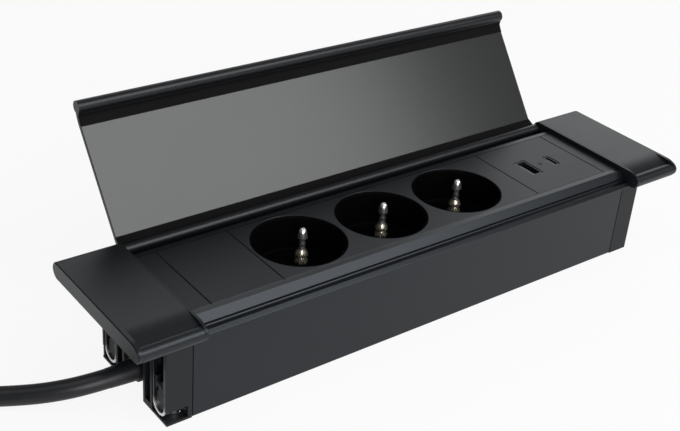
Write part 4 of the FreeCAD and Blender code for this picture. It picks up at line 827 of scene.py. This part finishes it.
@dataclass
class Studio:
    """A white table, the camera at the photograph's place, and soft lamps.

    The table's glow is table_mirrored in mirror images, and table_seen more to the camera. The
    surround's strength is surround, and surround_seen more to the camera.
    """

    position: tuple[float, float, float] = (-0.3154, -0.3467, 0.2674)
    back: tuple[float, float, float] = (-0.5474, -0.6741, 0.4958)
    right: tuple[float, float, float] = (0.7990, -0.5973, 0.0701)
    up: tuple[float, float, float] = (0.2489, 0.4345, 0.8656)
    lens: float = 63.01
    table_side: float = 4.0
    table_seen: float = 0.46
    table_mirrored: float = 0.44
    surround: float = 0.14
    surround_seen: float = 0.86

    def camera(self) -> None:
        """Set the camera up from its fitted axes."""
        data = bpy.data.cameras.new("camera")
        data.sensor_width = 36.0
        data.lens = self.lens
        data.clip_start = 0.01
        camera = bpy.data.objects.new("camera", data)
        bpy.context.scene.collection.objects.link(camera)
        turn = Matrix((self.right, self.up, self.back)).transposed().normalized()
        camera.matrix_world = Matrix.Translation(self.position) @ turn.to_4x4()
        bpy.context.scene.camera = camera

    def floor(self) -> None:
        """Lay a wide white table top under the strip."""
        mesh = bpy.data.meshes.new("table_top")
        side = self.table_side
        corners = [(-side, -side), (side, -side), (side, side), (-side, side)]
        mesh.from_pydata([(x, y, TABLE_Z) for x, y in corners], [], [(0, 1, 2, 3)])
        table = bpy.data.objects.new("table_top", mesh)
        bpy.context.scene.collection.objects.link(table)
        material = bpy.data.materials.new("white_table")
        material.use_nodes = True
        tree = material.node_tree
        shader = tree.nodes["Principled BSDF"]
        shader.inputs["Base Color"].default_value = (0.94, 0.94, 0.94, 1.0)
        shader.inputs["Roughness"].default_value = 0.7
        shader.inputs["Specular IOR Level"].default_value = 0.2
        glow = tree.nodes.new("ShaderNodeEmission")
        blend = tree.nodes.new("ShaderNodeMixShader")
        straight = math_node(tree, "MULTIPLY", seen_rays(tree, glossy=False), self.table_seen)
        seen = math_node(tree, "MULTIPLY_ADD", seen_rays(tree), self.table_mirrored, straight)
        tree.links.new(seen, blend.inputs["Fac"])
        tree.links.new(shader.outputs["BSDF"], blend.inputs[1])
        tree.links.new(glow.outputs["Emission"], blend.inputs[2])
        tree.links.new(blend.outputs["Shader"], tree.nodes["Material Output"].inputs["Surface"])
        mesh.materials.append(material)

    def world(self) -> None:
        """Put up a white surround that lights the object gently."""
        world = bpy.data.worlds.new("studio")
        world.use_nodes = True
        tree = world.node_tree
        background = tree.nodes["Background"]
        strength = math_node(tree, "MULTIPLY_ADD", seen_rays(tree, glossy=False),
                             self.surround_seen, self.surround)
        tree.links.new(strength, background.inputs["Strength"])
        background.inputs["Color"].default_value = (1.0, 1.0, 1.0, 1.0)
        bpy.context.scene.world = world

    def build(self) -> None:
        """Set up the camera, table, surround and lamps."""
        self.camera()
        self.floor()
        self.world()
        for lamp in LAMPS:
            lamp.build()
        bpy.context.scene.view_settings.view_transform = "Standard"
        log.info("studio is up")


def dress_nodes() -> None:
    """Give every CAD node the finish of its material slot, or its own where it has one."""
    slots = {entry["node"]: entry["material_slot"] for entry in frame["record"]["subparts"]}
    for name, item in frame["nodes"].items():
        material = NODE_FINISHES.get(name, SLOT_FINISHES[slots[name]]).material()
        item.data.materials.clear()
        item.data.materials.append(material)
    log.info("%d nodes dressed", len(slots))


def main() -> None:
    """Build the studio and the strip."""
    logging.basicConfig(level=logging.INFO)
    Studio().build()
    dress_nodes()
    lead = MainsLead().build()
    StrainRelief().build(lead)
    for number, middle in enumerate(SOCKET_MIDDLES, 1):
        EarthPin(number, (middle + PIN_OFFSET[0], PIN_OFFSET[1])).build()
    LidShadeStrips().build()
    FootCover().build()


if __name__ == "__main__":
    main()
